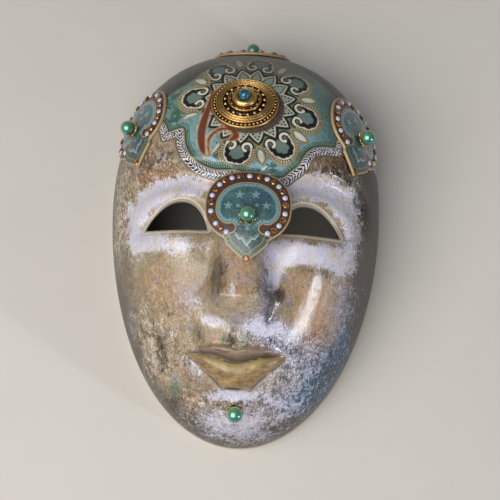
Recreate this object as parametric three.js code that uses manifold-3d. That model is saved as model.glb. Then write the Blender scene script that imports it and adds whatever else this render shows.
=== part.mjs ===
// Carnival face mask lying on its back edge, in millimetres, +Z out of the face, +Y to the brow.
import * as THREE from 'three';
import Module from 'manifold-3d';

const wasm = await Module();
wasm.setup();

// The face is laid out in equal thirds: hairline to brow, brow to nose base, nose base to chin.
const THIRD = 79;
const HALF_LENGTH = 1.5 * THIRD;
const HALF_WIDTH = 80.5;
const DOME = 76;              // rise of the face over its wall, without nose, brows and lips
const WALL_CHIN = 4;          // height of the upright wall under the dome, deepest at the top
const WALL_TOP = 36;
const FLARE = 0.09;           // the wall opens outward toward its edge
const DOME_POWER = 2.3;
const PAPER = 2.6;            // layered paper
const LEAN = 4;               // the face leans back on its edge, which lowers the features
const BROW_Y = THIRD / 2 - LEAN;
const NOSE_Y = -THIRD / 2 - LEAN;
const MOUTH_Y = NOSE_Y - THIRD / 3;
const EYE_WIDTH = 36;         // a little over a fifth of the width, as is the space between
const EYE_IN = 0.55 * EYE_WIDTH;
const EYE_Y = -0.5;
const EYE_HEIGHT = 16.3;
const EYE_X = EYE_IN + EYE_WIDTH / 2;
const MOUTH_HALF = 0.8 * EYE_WIDTH;
const CHIN_DROP = 28;         // from the mouth to the pearl on the chin
const NOSE_HEIGHT = 20;
const GAP = 0.2;              // between pieces that touch
const CARD_SEAT = 0.3;        // the same under a card pressed to the curved wall

const BOSS_RADIUS = 19.5;     // half width of the boss, a round a little lower than wide
const BOSS_OVAL = 0.88;
const BOSS_X = -1.6;
const BOSS_Y = 68.6;
const SIDE = [64.8, 62.5, 64];  // medallions on the temples
const TOP_Z = 31;             // medallion on the wall at the top
const STONE_RADIUS = 3.2;
const CARD = 1.6;             // thickness of a medallion
const CARD_HALF = 24;         // half width of its ring
const CARD_HIGH = 21;         // half height of its ring
const CARD_CENTRE = 5;        // middle of the ring above the middle of the card
const CARD_TIP = 27;          // from there down to the pointed end
const PEARL_T = -1.8;         // where the pearl stands on it
const HOLLOW = 0.45;          // relief under the middle of a card, so that its edge seats
const STUD_BAND = 3.4;        // from the edge of the card to the middle of the studs
const STUD_COUNT = 25;        // round the ring of one card
const AMBER_RADIUS = 1.9;
const OPAL_RADIUS = 1.55;
const PEARL_RADIUS = 4.3;
const CHIN_PEARL_RADIUS = 4.7;
const CHIN_SEAT = 0.9;        // the flat petal cap over the round of the chin
const PEARL_RISE = 0.95;      // of a pearl in its petal cap

const clamp = (v, lo, hi) => Math.min(Math.max(v, lo), hi);
const mix = (a, b, k) => a + (b - a) * k;

function step(a, b, v) {
  const t = clamp((v - a) / (b - a), 0, 1);
  return t * t * (3 - 2 * t);
}

const hump = (x, y, x0, y0, rx, ry) => Math.exp(-(((x - x0) / rx) ** 2) - ((y - y0) / ry) ** 2);
const roll = (d, w) => Math.exp(-((d / w) ** 2));

// Half width of the outline at a height on the face, fuller at both ends than an ellipse.
function halfWidth(y) {
  const t = clamp(y / HALF_LENGTH, -1, 1);
  return HALF_WIDTH * (1 + 0.13 * t + 0.12 * t * t + 0.05 * t ** 3);
}

// 0 in the middle of the face, 1 on the outline; `out` widens the outline.
const reach = (x, y, out = 0) => (x / (halfWidth(y) + out)) ** 2 + (y / (HALF_LENGTH + out)) ** 2;

const wallTop = (y) => mix(WALL_CHIN, WALL_TOP, (clamp(y / HALF_LENGTH, -1, 1) + 1) / 2);

function dome(x, y) {
  return wallTop(y) + DOME * Math.sqrt(Math.max(0, 1 - reach(x, y) ** (DOME_POWER / 2)));
}

function browLine(x) {
  const u = (x - 30) / 40;
  return BROW_Y + 1 - 11.7 * Math.max(u, 0) ** 2 - 7.2 * Math.max(-u, 0) ** 1.5;
}

// Hollow of the eye under the brow's roll, with a lid round the upper half of the opening.
function sockets(x, y) {
  const d = y - browLine(x);
  let z = -5 * step(4, -5, d) * step(-8, 8, y) * step(78, 62, x) * step(2, 16, x);
  z += 2.4 * roll(d - 3, 6) * step(80, 60, x) * step(-4, 14, x);
  const lx = (x - EYE_X) / 1.28;
  const ly = y - EYE_Y + 2;
  const r = Math.hypot(lx, ly);
  const a = Math.atan2(ly, lx);
  const lid = step(-0.35, 0.15, a) * step(3.5, 2.9, a);
  z += (3.2 * roll(r - 22, 4.5) - 1.6 * roll(r - 16, 2.2)) * lid;
  z += 1.6 * hump(x, y, EYE_X, EYE_Y - 8, 20, 6);
  return z - 4.5 * hump(x, y, 19, -4, 9, 17);
}

// A flat bridge that rises to the tip, sloping sides, and a wing at each side of the base.
function nose(x, y) {
  const tip = NOSE_Y + 3;
  const k = clamp((y - tip) / (22 - tip), 0, 1);
  const bridge = mix(9, 7, k);
  const q = clamp((x - bridge) / (mix(20, 15.5, k) - bridge), 0, 1);
  const height = (NOSE_HEIGHT * (1 - k) ** 1.2 + 3 * k) * step(44, 16, y);
  const crown = 0.05 * Math.min(x / bridge, 1) ** 2 * (1 - q);
  const wings = 4 * hump(x, y, 15.5, NOSE_Y + 5.5, 5.5, 6.5) * step(NOSE_Y - 6, NOSE_Y + 4, y);
  return height * (1 - step(0, 1, q) - crown) * step(NOSE_Y - 10, tip + 1, y) + wings;
}

const lipLine = (x) => MOUTH_Y + 1 - 4.6 * roll(x, 12.5) + 0.2 * clamp(x / MOUTH_HALF, 0, 1);

// Both lips swell from the parting line and fade toward the corners.
function lips(x, y) {
  const u = clamp(x / MOUTH_HALF, 0, 1);
  const line = lipLine(x);
  const upper = 7.4 * (1 - u ** 1.5) - 0.8 * roll(x, 4);
  const lower = line - MOUTH_Y + 18 * (1 - clamp((u - 0.3) / 0.7, 0, 1) ** 0.9);
  let z = -1.8 * roll(y - line, 1) * step(MOUTH_HALF + 1, MOUTH_HALF - 9, x);
  z -= hump(x, y, MOUTH_HALF + 1, MOUTH_Y, 4, 4);
  if (x >= MOUTH_HALF) return z;
  const up = (y - line) / Math.max(upper, 0.5);
  const down = (line - y) / Math.max(lower, 0.5);
  if (up >= 0) return z + 3.2 * (1 - u ** 2.5) * step(1.35, 0.75, up) * step(-0.15, 0.75, up);
  return z + 5.5 * (1 - u ** 2.2) * step(-0.12, 0.5, down) * step(1.15, 0.8, down);
}

// The round under the mouth, the groove over it, the hollow below it and the chin.
function jaw(x, y) {
  let z = 6.5 * hump(x, y, 0, MOUTH_Y + 4, 32, 26);
  z -= 1.2 * hump(x, y, 0, MOUTH_Y + 15, 3.4, 8);
  z += 0.8 * hump(x, y, 5.5, MOUTH_Y + 13, 2.6, 8);
  z -= 2.2 * hump(x, y, 0, MOUTH_Y - 21.5, 16, 4.5);
  return z + 6.5 * hump(x, y, 0, MOUTH_Y - 33, 17, 14);
}

// Height of the outer face; the features run out toward the edge.
function face(px, y) {
  const x = Math.sqrt(px * px + 2);
  const cheeks = 4.5 * hump(x, y, 44, -16, 24, 20) - 1.5 * hump(x, y, 66, 42, 12, 22);
  const between = 3.5 * hump(x, y, 0, BROW_Y - 5, 17, 11);
  const relief = cheeks + between + sockets(x, y) + nose(x, y) + lips(x, y) + jaw(x, y);
  return dome(px, y) + relief * step(1, 0.72, reach(px, y));
}

// The inside is the outside followed by a ball of the wall's thickness, and by a wider and
// flatter one behind the features, because wet paper doesn't fill their sharp edges.
function inside(x, y) {
  const wide = mix(2 * PAPER, PAPER, step(0.45, 0.8, reach(x, y)));
  let z = face(x, y) - PAPER;
  for (const k of [0.4, 0.75, 1]) {
    for (let i = 0; i < 12; i++) {
      const a = (i * Math.PI) / 6;
      const lift = PAPER * Math.sqrt(1 - k * k);
      z = Math.min(z, face(x + k * wide * Math.cos(a), y + k * wide * Math.sin(a)) - lift);
    }
  }
  return z;
}

function solid(points, triangles) {
  return new wasm.Manifold(new wasm.Mesh({
    numProp: 3,
    vertProperties: new Float32Array(points.flat()),
    triVerts: new Uint32Array(triangles.flat()),
  }));
}

// Lines of the grid stand closer where the nose, the eyes and the mouth are.
function lines(count, peaks) {
  const steps = 400;
  const total = [0];
  for (let i = 0; i < steps; i++) {
    const v = ((i + 0.5) / steps) * 2 - 1;
    const extra = peaks.reduce((sum, [at, spread, much]) => sum + much * roll(v - at, spread), 0);
    total.push(total[i] + 1 + extra);
  }
  const values = [];
  for (let k = 0; k <= count; k++) {
    const want = (total[steps] * k) / count;
    let i = 0;
    while (i < steps - 1 && total[i + 1] < want) i++;
    values.push(((i + (want - total[i]) / (total[i + 1] - total[i])) / steps) * 2 - 1);
  }
  return values;
}

// A square grid pressed into the outline, spaced along the curve of the dome, on an upright wall
// of `courses` rows that ends in a flat floor.
function filled(columns, rows, courses, inset, height, floor) {
  const us = lines(columns, [[0, 0.3, 2.5]]);
  const vs = lines(rows, [[-0.4, 0.28, 3], [0.12, 0.22, 1.8]]);
  const points = [];
  const triangles = [];
  for (const v of vs) {
    for (const u of us) {
      const dx = u * Math.sqrt(1 - (v * v) / 2);
      const dy = v * Math.sqrt(1 - (u * u) / 2);
      const r = Math.min(Math.hypot(dx, dy), 1);
      const spread = r > 0 ? Math.sin((r * Math.PI) / 2) / r : 0;
      const y = dy * spread * (HALF_LENGTH - inset);
      const x = dx * spread * (halfWidth(y) - inset);
      points.push([x, y, r > 0.9999 ? wallTop(y) : height(x, y)]);
    }
  }
  const at = (c, r) => r * (columns + 1) + c;
  for (let r = 0; r < rows; r++) {
    for (let c = 0; c < columns; c++) {
      const q = [at(c, r), at(c + 1, r), at(c + 1, r + 1), at(c, r + 1)];
      const rising = (c < columns / 2) !== (r < rows / 2);
      if (rising) triangles.push([q[0], q[1], q[3]], [q[1], q[2], q[3]]);
      else triangles.push([q[0], q[1], q[2]], [q[0], q[2], q[3]]);
    }
  }
  const edge = [];
  for (let c = 0; c < columns; c++) edge.push(at(c, 0));
  for (let r = 0; r < rows; r++) edge.push(at(columns, r));
  for (let c = columns; c > 0; c--) edge.push(at(c, rows));
  for (let r = rows; r > 0; r--) edge.push(at(0, r));
  let upper = edge;
  for (let k = 1; k <= courses; k++) {
    const lower = edge.map((i) => {
      const [x, y] = points[i];
      const depth = (wallTop(y) * k) / courses;
      const w = halfWidth(y) - inset;
      const l = HALF_LENGTH - inset;
      const z = k === courses ? floor : wallTop(y) - depth;
      points.push([(x * (w + FLARE * depth)) / w, (y * (l + FLARE * depth)) / l, z]);
      return points.length - 1;
    });
    for (let i = 0; i < edge.length; i++) {
      const j = (i + 1) % edge.length;
      triangles.push([upper[i], lower[j], upper[j]], [upper[i], lower[i], lower[j]]);
    }
    upper = lower;
  }
  points.push([0, 0, floor]);
  const middle = points.length - 1;
  for (let i = 0; i < edge.length; i++) {
    triangles.push([upper[i], middle, upper[(i + 1) % edge.length]]);
  }
  return solid(points, triangles);
}

// Upright prism in the shape of one eye opening: a flat lower edge and an arch.
function eyeHole(side) {
  const outline = [];
  const arch = 18;
  const sill = 6;
  const [below, above] = [30, 130];
  for (let i = 0; i <= arch; i++) {
    const u = Math.cos((Math.PI * i) / arch);
    const lean = Math.abs(u + 0.12 * (1 - u * u)) ** 2.2;
    outline.push([side * (EYE_X + (EYE_WIDTH / 2) * u), EYE_Y + EYE_HEIGHT * (1 - lean) ** 0.72]);
  }
  for (let i = 1; i < sill; i++) {
    const u = (i / sill) * 2 - 1;
    outline.push([side * (EYE_X + (EYE_WIDTH / 2) * u), EYE_Y - 0.8 * (1 - u * u)]);
  }
  if (side < 0) outline.reverse();
  const n = outline.length;
  const centre = [side * EYE_X, EYE_Y + EYE_HEIGHT * 0.3];
  const points = [];
  const triangles = [];
  for (const z of [below, above]) {
    for (const p of outline) points.push([...p, z]);
    points.push([...centre, z]);
  }
  for (let i = 0; i < n; i++) {
    const j = (i + 1) % n;
    triangles.push([i, n, j], [n + 1 + i, n + 1 + j, 2 * n + 1]);
    triangles.push([i, j, n + 1 + j], [i, n + 1 + j, n + 1 + i]);
  }
  return solid(points, triangles);
}

// 0 on the outer face without its features, less inside and more outside.
function level(p) {
  const top = wallTop(p.y);
  const rise = Math.max(p.z - top, 0) / DOME;
  return rise ** 2 + reach(p.x, p.y, FLARE * Math.max(top - p.z, 0)) ** (DOME_POWER / 2) - 1;
}

function slope(p) {
  const e = 0.01;
  const at = (x, y, z) => level({ x: p.x + x, y: p.y + y, z: p.z + z });
  return new THREE.Vector3(
    (at(e, 0, 0) - at(-e, 0, 0)) / (2 * e),
    (at(0, e, 0) - at(0, -e, 0)) / (2 * e),
    (at(0, 0, e) - at(0, 0, -e)) / (2 * e),
  );
}

// The point of the outer face that lies from p along n.
function settle(p, n) {
  const q = p.clone();
  for (let i = 0; i < 12; i++) {
    const g = slope(q).dot(n);
    q.addScaledVector(n, clamp(-level(q) / g, -4, 4));
  }
  return q;
}

// A spot on the outer face with its own axes: s across, t toward the round end, n outward.
function spot(x, y, z, heading) {
  let c = new THREE.Vector3(x, y, z);
  for (let i = 0; i < 3; i++) c = settle(c, slope(c).normalize());
  const n = slope(c).normalize();
  const t = heading.clone().addScaledVector(n, -heading.dot(n)).normalize();
  const s = new THREE.Vector3().crossVectors(t, n);
  return { c, s, t, n };
}

// The point above (s, t) that stands `lift` over the outer face, along the spot's own normal.
function drape(place, s, t, lift) {
  const p = place.c.clone().addScaledVector(place.s, s).addScaledVector(place.t, t);
  return settle(p, place.n).addScaledVector(place.n, lift).toArray();
}

// Rings of points, each with its own radius and lift, closed at both ends.
function turned(place, profile, sides, shape) {
  const points = [];
  const triangles = [];
  for (const [r, lift] of profile) {
    for (let i = 0; i < sides; i++) {
      const a = (i / sides) * 2 * Math.PI;
      points.push(shape(place, r, a, lift));
    }
  }
  const last = profile.length - 1;
  points.push(shape(place, 0, 0, profile[0][1]), shape(place, 0, 0, profile[last][1]));
  for (let i = 0; i < sides; i++) {
    const j = (i + 1) % sides;
    for (let k = 0; k < last; k++) {
      const [a, b, c, d] = [k * sides + i, k * sides + j, (k + 1) * sides + j, (k + 1) * sides + i];
      triangles.push([a, b, c], [a, c, d]);
    }
    triangles.push([points.length - 2, j, i]);
    triangles.push([points.length - 1, last * sides + i, last * sides + j]);
  }
  return solid(points, triangles);
}

const straight = (place, r, a, lift) => place.c.clone()
  .addScaledVector(place.s, r * Math.cos(a))
  .addScaledVector(place.t, r * Math.sin(a))
  .addScaledVector(place.n, lift).toArray();

const oval = (place, r, a, lift) => drape(place, r * Math.cos(a), BOSS_OVAL * r * Math.sin(a), lift);

// The ring of a medallion is an oval a little squarer than an ellipse; `inset` draws it in.
const RING_POWER = 2.3;

function onRing(a, inset) {
  const swell = (v) => Math.sign(v) * Math.abs(v) ** (2 / RING_POWER);
  const s = (CARD_HALF - inset) * swell(Math.cos(a));
  return [s, CARD_CENTRE + (CARD_HIGH - inset) * swell(Math.sin(a))];
}

// Outline of a medallion: a ring with `count` facets, and a pointed end.
const RING_END = 1;           // how far the ring runs on past its half turn, in radians
const STUD_END = 1.05;
const TAIL = [[8, -20.2], [11.4, -17], [12, -14.6]];

function cardOutline(count) {
  const ring = [];
  for (let i = 0; i <= count; i++) ring.push(onRing(mix(-RING_END, Math.PI + RING_END, i / count), 0));
  const other = TAIL.map(([s, t]) => [-s, t]).reverse();
  return [[0, -CARD_TIP], ...TAIL, ...ring, ...other];
}

// A card with the studs as small pyramids in its ring band, or plain where they are pieces.
// The band's two edges and the peaks are the outline drawn in to these shares.
const BAND = { outer: 0.96, peak: 0.89, inner: 0.82 };
const PEAK = 1;               // height of a pyramid on the card

function card(place, over, facets, studded) {
  const outline = cardOutline(facets);
  const n = outline.length;
  const points = [];
  const triangles = [];
  const rowOf = (k, lift) => {
    const first = points.length;
    for (const [s, t] of outline) points.push(over(place, s * k, t * k, lift));
    return first;
  };
  const join = (low, high) => {
    for (let i = 0; i < n; i++) {
      const j = (i + 1) % n;
      const facet = i - TAIL.length - 1;
      if (studded && high === inner && facet >= 0 && facet < facets && facet % 2 === 0) {
        const s = (outline[i][0] + outline[j][0]) / 2;
        const t = (outline[i][1] + outline[j][1]) / 2;
        points.push(over(place, s * BAND.peak, t * BAND.peak, CARD + PEAK));
        const peak = points.length - 1;
        triangles.push([low + i, low + j, peak], [low + j, high + j, peak]);
        triangles.push([high + j, high + i, peak], [high + i, low + i, peak]);
      } else {
        triangles.push([low + i, low + j, high + j], [low + i, high + j, high + i]);
      }
    }
  };
  const under = rowOf(1, 0);
  const underMiddle = rowOf(0.5, HOLLOW);
  const edge = rowOf(1, CARD);
  const outer = studded ? rowOf(BAND.outer, CARD) : edge;
  const inner = rowOf(studded ? BAND.inner : 0.5, CARD);
  points.push(over(place, 0, 0, HOLLOW), over(place, 0, 0, CARD));
  const [foot, crown] = [points.length - 2, points.length - 1];
  join(under, edge);
  if (studded) join(edge, outer);
  join(outer, inner);
  for (let i = 0; i < n; i++) {
    const j = (i + 1) % n;
    triangles.push([inner + i, inner + j, crown], [foot, underMiddle + j, underMiddle + i]);
    triangles.push([under + i, underMiddle + j, under + j], [under + i, underMiddle + i, underMiddle + j]);
  }
  return solid(points, triangles);
}

// Places of the studs: along the ring band, white opals at both ends, and one on the point.
function studPlaces() {
  const places = [];
  for (let i = 0; i < STUD_COUNT; i++) {
    const a = mix(-STUD_END, Math.PI + STUD_END, i / (STUD_COUNT - 1));
    const [s, t] = onRing(a, STUD_BAND);
    places.push({ s, t, amber: i % 2 === 1 });
  }
  places.push({ s: 0, t: 2.4 - CARD_TIP, amber: true });
  return places;
}

// The middle medallion bridges the root of the nose as a stiff, slightly bowed card.
const MIDDLE_X = 3.3;
const MIDDLE_Y = 4.5;
const bow = (s, t) => -0.0052 * s * s - 0.0075 * t * t - 0.13 * t;
let middleHeight = 0;
for (let s = -25; s <= 25; s += 0.5) {
  for (let t = -28; t <= 27; t += 0.5) {
    const ring = Math.hypot(s / CARD_HALF, (t - CARD_CENTRE) / CARD_HIGH) < 1.02;
    const point = t < -10 && Math.abs(s) < 13 && Math.abs(s) < (t + CARD_TIP + 1) * 1.45;
    if (!ring && !point) continue;
    middleHeight = Math.max(middleHeight, face(MIDDLE_X + s, MIDDLE_Y + t) - bow(s, t) + GAP);
  }
}
const middle = {
  c: new THREE.Vector3(MIDDLE_X, MIDDLE_Y, middleHeight),
  s: new THREE.Vector3(1, 0, 0),
  t: new THREE.Vector3(0, 1, 0),
  n: new THREE.Vector3(0, 0, 1),
};
const overMiddle = (place, s, t, lift) => [MIDDLE_X + s, MIDDLE_Y + t, middleHeight + bow(s, t) + lift];
const overDome = (place, s, t, lift) => drape(place, s, t, CARD_SEAT + lift);

const boss = spot(BOSS_X, BOSS_Y, 80, new THREE.Vector3(0, 1, 0));
const BACKWARD = new THREE.Vector3(0, 1, -0.52);
const left = spot(-SIDE[0], SIDE[1], SIDE[2], BACKWARD);
const right = spot(SIDE[0], SIDE[1], SIDE[2], BACKWARD);
const top = spot(0, HALF_LENGTH, TOP_Z, new THREE.Vector3(0, 0, 1));
const chin = (() => {
  const y = MOUTH_Y - CHIN_DROP;
  const e = 0.5;
  const n = new THREE.Vector3(0, -(face(0, y + e) - face(0, y - e)) / (2 * e), 1).normalize();
  const t = new THREE.Vector3(0, n.z, -n.y);
  return { c: new THREE.Vector3(0, y, face(0, y)), s: new THREE.Vector3(1, 0, 0), t, n };
})();

const ball = (radius, rings) => {
  const profile = [];
  for (let i = 1; i < rings; i++) {
    const a = (Math.PI * i) / rings;
    profile.push([radius * Math.sin(a), radius - radius * Math.cos(a)]);
  }
  return profile;
};

// Lowest and highest points of a ball are its poles, so it is built from rings and two caps.
function pearl(place, radius, lift) {
  const raised = { ...place, c: place.c.clone().addScaledVector(place.n, lift) };
  const profile = ball(radius, 6);
  const shape = (p, r, a, h) => straight(p, r, a, r === 0 ? (h < radius ? 0 : 2 * radius) : h);
  return turned(raised, profile, 8, shape);
}

const CAP = [[2.8, 0], [4.7, 2.1], [4.3, 2.3], [2.6, 0.7]];

function cap(place, lift) {
  const raised = { ...place, c: place.c.clone().addScaledVector(place.n, lift) };
  return turned(raised, CAP, 6, straight);
}

// A place on the face of a card, with axes square to the card there.
function onCard(place, over, s, t) {
  const e = 0.2;
  const c = new THREE.Vector3(...over(place, s, t, CARD));
  const across = new THREE.Vector3(...over(place, s + e, t, CARD)).sub(c).normalize();
  const up = new THREE.Vector3(...over(place, s, t + e, CARD)).sub(c).normalize();
  const n = new THREE.Vector3().crossVectors(across, up).normalize();
  return { c, s: across, t: new THREE.Vector3().crossVectors(n, across), n };
}

// A stone on the card: a low five-sided drum with a pointed crown.
const STUD = { foot: 0.12, girdle: 0.5, crown: 1.2 };

function stud(place, over, at) {
  const radius = at.amber ? AMBER_RADIUS : OPAL_RADIUS;
  const here = onCard(place, over, at.s, at.t);
  const crowned = (r, lift) => (r === 0 && lift === STUD.girdle ? STUD.crown : lift);
  const shape = (p, r, a, lift) => straight(p, r, a, crowned(r, lift));
  return turned(here, [[radius, STUD.foot], [radius, STUD.girdle]], 5, shape);
}

// Radius and height of the boss from its foot up: rim, outer ring, cone, inner ring and collar.
const BOSS_PROFILE = [
  [9, 0.4], [BOSS_RADIUS, 0.3], [BOSS_RADIUS, 1.6], [17.4, 1.6], [16.6, 2.9], [13.4, 3.4],
  [12.2, 4.4], [9.6, 4.6], [8.4, 5.3], [7.2, 5.5], [6.8, 6.9], [5.6, 7.5], [4.2, 7.4],
];

const COLOURS = {
  shell: 0xb9a98c, gold: 0xc8a55a, stone: 0x0078a0, card: 0x46696d,
  pearl: 0x82b496, amber: 0xa06432, opal: 0xd8d8e0,
};
const METAL = { gold: 1 };
const FINISH = { shell: 0.25, gold: 0.3, stone: 0.2, card: 0.35, pearl: 0.2, amber: 0.15, opal: 0.3 };

const group = new THREE.Group();
group.name = 'venetian_mask';
const parts = [];

function add(name, body, kind) {
  const mesh = body.getMesh();
  const geometry = new THREE.BufferGeometry();
  const count = mesh.vertProperties.length / mesh.numProp;
  const positions = new Float32Array(count * 3);
  for (let i = 0; i < count; i++) {
    for (let k = 0; k < 3; k++) positions[3 * i + k] = mesh.vertProperties[i * mesh.numProp + k];
  }
  geometry.setAttribute('position', new THREE.BufferAttribute(positions, 3));
  geometry.setIndex(new THREE.BufferAttribute(new Uint32Array(mesh.triVerts), 1));
  const flat = geometry.toNonIndexed();
  flat.computeVertexNormals();
  const material = new THREE.MeshStandardMaterial({
    color: COLOURS[kind], roughness: FINISH[kind], metalness: METAL[kind] ?? 0,
  });
  const part = new THREE.Mesh(flat, material);
  part.name = name;
  parts.push(part);
  group.add(part);
}

const shell = filled(34, 48, 2, 0, face, 0)
  .subtract(filled(20, 28, 1, PAPER, inside, -1))
  .subtract(eyeHole(1))
  .subtract(eyeHole(-1));
add('mask_shell', shell, 'shell');

add('forehead_boss', turned(boss, BOSS_PROFILE, 20, oval), 'gold');
const STONE_SEAT = 7.6;       // height of the collar that holds the stone
const stoneSeat = { ...boss, c: boss.c.clone().addScaledVector(boss.n, STONE_SEAT) };
const STONE = [[STONE_RADIUS * 0.8, 0], [STONE_RADIUS, 1.2], [STONE_RADIUS * 0.8, 3.1], [1.2, 4.1]];
add('boss_stone', turned(stoneSeat, STONE, 10, straight), 'stone');

add('middle_medallion', card(middle, overMiddle, 32, false), 'card');
studPlaces().forEach((at, i) => {
  const kind = at.amber ? 'amber' : 'opal';
  add(`${kind}_stud_${String(i + 1).padStart(2, '0')}`, stud(middle, overMiddle, at), kind);
});

for (const [name, place] of [['left', left], ['right', right], ['top', top]]) {
  add(`${name}_medallion`, card(place, overDome, 49, true), 'card');
}

for (const [name, place] of Object.entries({ middle, left, right, top })) {
  const seat = onCard(place, name === 'middle' ? overMiddle : overDome, 0, PEARL_T);
  add(`${name}_pearl_cap`, cap(seat, GAP), 'gold');
  add(`${name}_pearl`, pearl(seat, PEARL_RADIUS, GAP + PEARL_RISE), 'pearl');
}
add('chin_pearl_cap', cap(chin, CHIN_SEAT), 'gold');
add('chin_pearl', pearl(chin, CHIN_PEARL_RADIUS, CHIN_SEAT + PEARL_RISE), 'pearl');

// The middle of the whole box goes to x = 0, y = 0.
group.updateMatrixWorld(true);
const box = new THREE.Box3().setFromObject(group);
const centre = box.getCenter(new THREE.Vector3());
for (const part of parts) part.geometry.translate(-centre.x, -centre.y, -box.min.z);

export default group;
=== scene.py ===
# %% [markdown]
# # A carnival mask of layered paper
# The mask lies on its flat back edge and looks up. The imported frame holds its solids: the hollow
# face, a gilt boss with a blue stone, four medallions set with stones, and five pearls. This file
# gives each of them its fine form and its finish. Everything is worked out in millimetres from the
# same few dimensions as the frame, and turned into metres where a mesh is made.

import math
from functools import partial

import bpy
import numpy as np
from mathutils import Matrix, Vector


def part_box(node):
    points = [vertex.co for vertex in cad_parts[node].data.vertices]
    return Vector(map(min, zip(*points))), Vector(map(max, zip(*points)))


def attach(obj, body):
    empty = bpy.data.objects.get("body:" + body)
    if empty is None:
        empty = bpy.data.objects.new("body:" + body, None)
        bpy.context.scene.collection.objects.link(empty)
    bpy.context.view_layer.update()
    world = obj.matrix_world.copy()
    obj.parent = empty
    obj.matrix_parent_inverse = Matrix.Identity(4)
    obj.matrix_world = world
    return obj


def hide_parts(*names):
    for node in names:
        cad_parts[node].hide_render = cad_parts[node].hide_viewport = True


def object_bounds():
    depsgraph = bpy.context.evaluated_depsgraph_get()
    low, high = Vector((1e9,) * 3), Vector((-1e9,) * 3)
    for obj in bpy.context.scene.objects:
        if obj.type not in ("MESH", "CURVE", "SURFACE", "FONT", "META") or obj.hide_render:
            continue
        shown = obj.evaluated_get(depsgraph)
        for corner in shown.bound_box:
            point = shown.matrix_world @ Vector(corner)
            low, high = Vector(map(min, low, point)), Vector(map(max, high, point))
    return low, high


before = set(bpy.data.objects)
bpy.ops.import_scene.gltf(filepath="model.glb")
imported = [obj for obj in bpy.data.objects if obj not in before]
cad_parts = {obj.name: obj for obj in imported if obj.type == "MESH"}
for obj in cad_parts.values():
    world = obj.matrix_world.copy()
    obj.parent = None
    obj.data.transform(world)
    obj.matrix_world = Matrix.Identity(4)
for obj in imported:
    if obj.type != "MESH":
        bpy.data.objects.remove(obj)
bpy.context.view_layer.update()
MM = 0.001
print("frame nodes:", len(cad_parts))

# %% [markdown]
# ## The proportions of the face
# A mask maker starts from a block carved in equal thirds: hairline to brow, brow to the base of the
# nose, and from there to the chin. All other places follow from the third and from the width of an
# eye. The block could be sculpted by hand, but a formula keeps the front, the back and the wall's
# thickness in step, so the face is a function that gives a height for every place (x, y).

# %% Dimensions in millimetres
THIRD = 79.0
HALF_LENGTH = 1.5 * THIRD
HALF_WIDTH = 80.5
DOME = 76.0  # rise of the face over its wall
WALL_CHIN, WALL_TOP = 4.0, 36.0  # height of the upright wall under the dome
FLARE = 0.09  # the wall opens toward its edge
DOME_POWER = 2.3
PAPER = 2.6  # thickness of the layered paper
LEAN = 4.0  # the features lie this much lower than thirds of the outline would put them
BROW_Y = THIRD / 2 - LEAN
NOSE_Y = -THIRD / 2 - LEAN
MOUTH_Y = NOSE_Y - THIRD / 3
EYE_WIDTH = 36.0
EYE_IN = 0.55 * EYE_WIDTH
EYE_X = EYE_IN + EYE_WIDTH / 2
EYE_Y = -0.5
EYE_HEIGHT = 16.3
MOUTH_HALF = 0.8 * EYE_WIDTH
NOSE_HEIGHT = 20.0
CHIN_DROP = 28.0
GAP = 0.2  # between the middle card and the face
CARD_SEAT = 0.3  # between a bent card and the dome


# %% Small helpers for smooth shapes
def step(low, high, value):
    """0 below low, 1 above high, and a smooth slope between them."""
    t = np.clip((value - low) / (high - low), 0, 1)
    return t * t * (3 - 2 * t)


def mix(a, b, k):
    """a where k is 0 and b where k is 1."""
    return a + (b - a) * k


def roll(distance, width):
    """A rounded ridge: 1 on the line, falling off with the distance."""
    return np.exp(-((distance / width) ** 2))


def hump(x, y, x0, y0, rx, ry):
    """A rounded hill of height 1 at (x0, y0)."""
    return np.exp(-(((x - x0) / rx) ** 2) - ((y - y0) / ry) ** 2)


# %% The dome that carries the features
def half_width(y):
    """Half the width of the outline at height y, fuller at both ends than an ellipse."""
    t = np.clip(y / HALF_LENGTH, -1, 1)
    return HALF_WIDTH * (1 + 0.13 * t + 0.12 * t * t + 0.05 * t**3)


def reach(x, y, out=0.0):
    """0 in the middle of the face and 1 on its outline, which out widens."""
    return (x / (half_width(y) + out)) ** 2 + (y / (HALF_LENGTH + out)) ** 2


def wall_top(y):
    """Height at which the dome stands on the upright wall."""
    return mix(WALL_CHIN, WALL_TOP, (np.clip(y / HALF_LENGTH, -1, 1) + 1) / 2)


def dome(x, y):
    """Height of the plain dome, nearly an ellipse in section."""
    return wall_top(y) + DOME * np.sqrt(np.clip(1 - reach(x, y) ** (DOME_POWER / 2), 0, None))


# %% The features
def brow_line(x):
    """Height on the face of the brow's edge, an arch over each eye."""
    u = (x - 30) / 40
    return BROW_Y + 1 - 11.7 * np.maximum(u, 0) ** 2 - 7.2 * np.maximum(-u, 0) ** 1.5


def sockets(x, y):
    """The hollow under the brow's roll, and a lid round the upper half of the opening."""
    d = y - brow_line(x)
    z = -5 * step(4, -5, d) * step(-8, 8, y) * step(78, 62, x) * step(2, 16, x)
    z = z + 2.4 * roll(d - 3, 6) * step(80, 60, x) * step(-4, 14, x)
    lx, ly = (x - EYE_X) / 1.28, y - EYE_Y + 2
    r, a = np.hypot(lx, ly), np.arctan2(ly, lx)
    lid = step(-0.35, 0.15, a) * step(3.5, 2.9, a)
    z = z + (3.2 * roll(r - 22, 4.5) - 1.6 * roll(r - 16, 2.2)) * lid
    z = z + 1.6 * hump(x, y, EYE_X, EYE_Y - 8, 20, 6)
    return z - 4.5 * hump(x, y, 19, -4, 9, 17)


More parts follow.
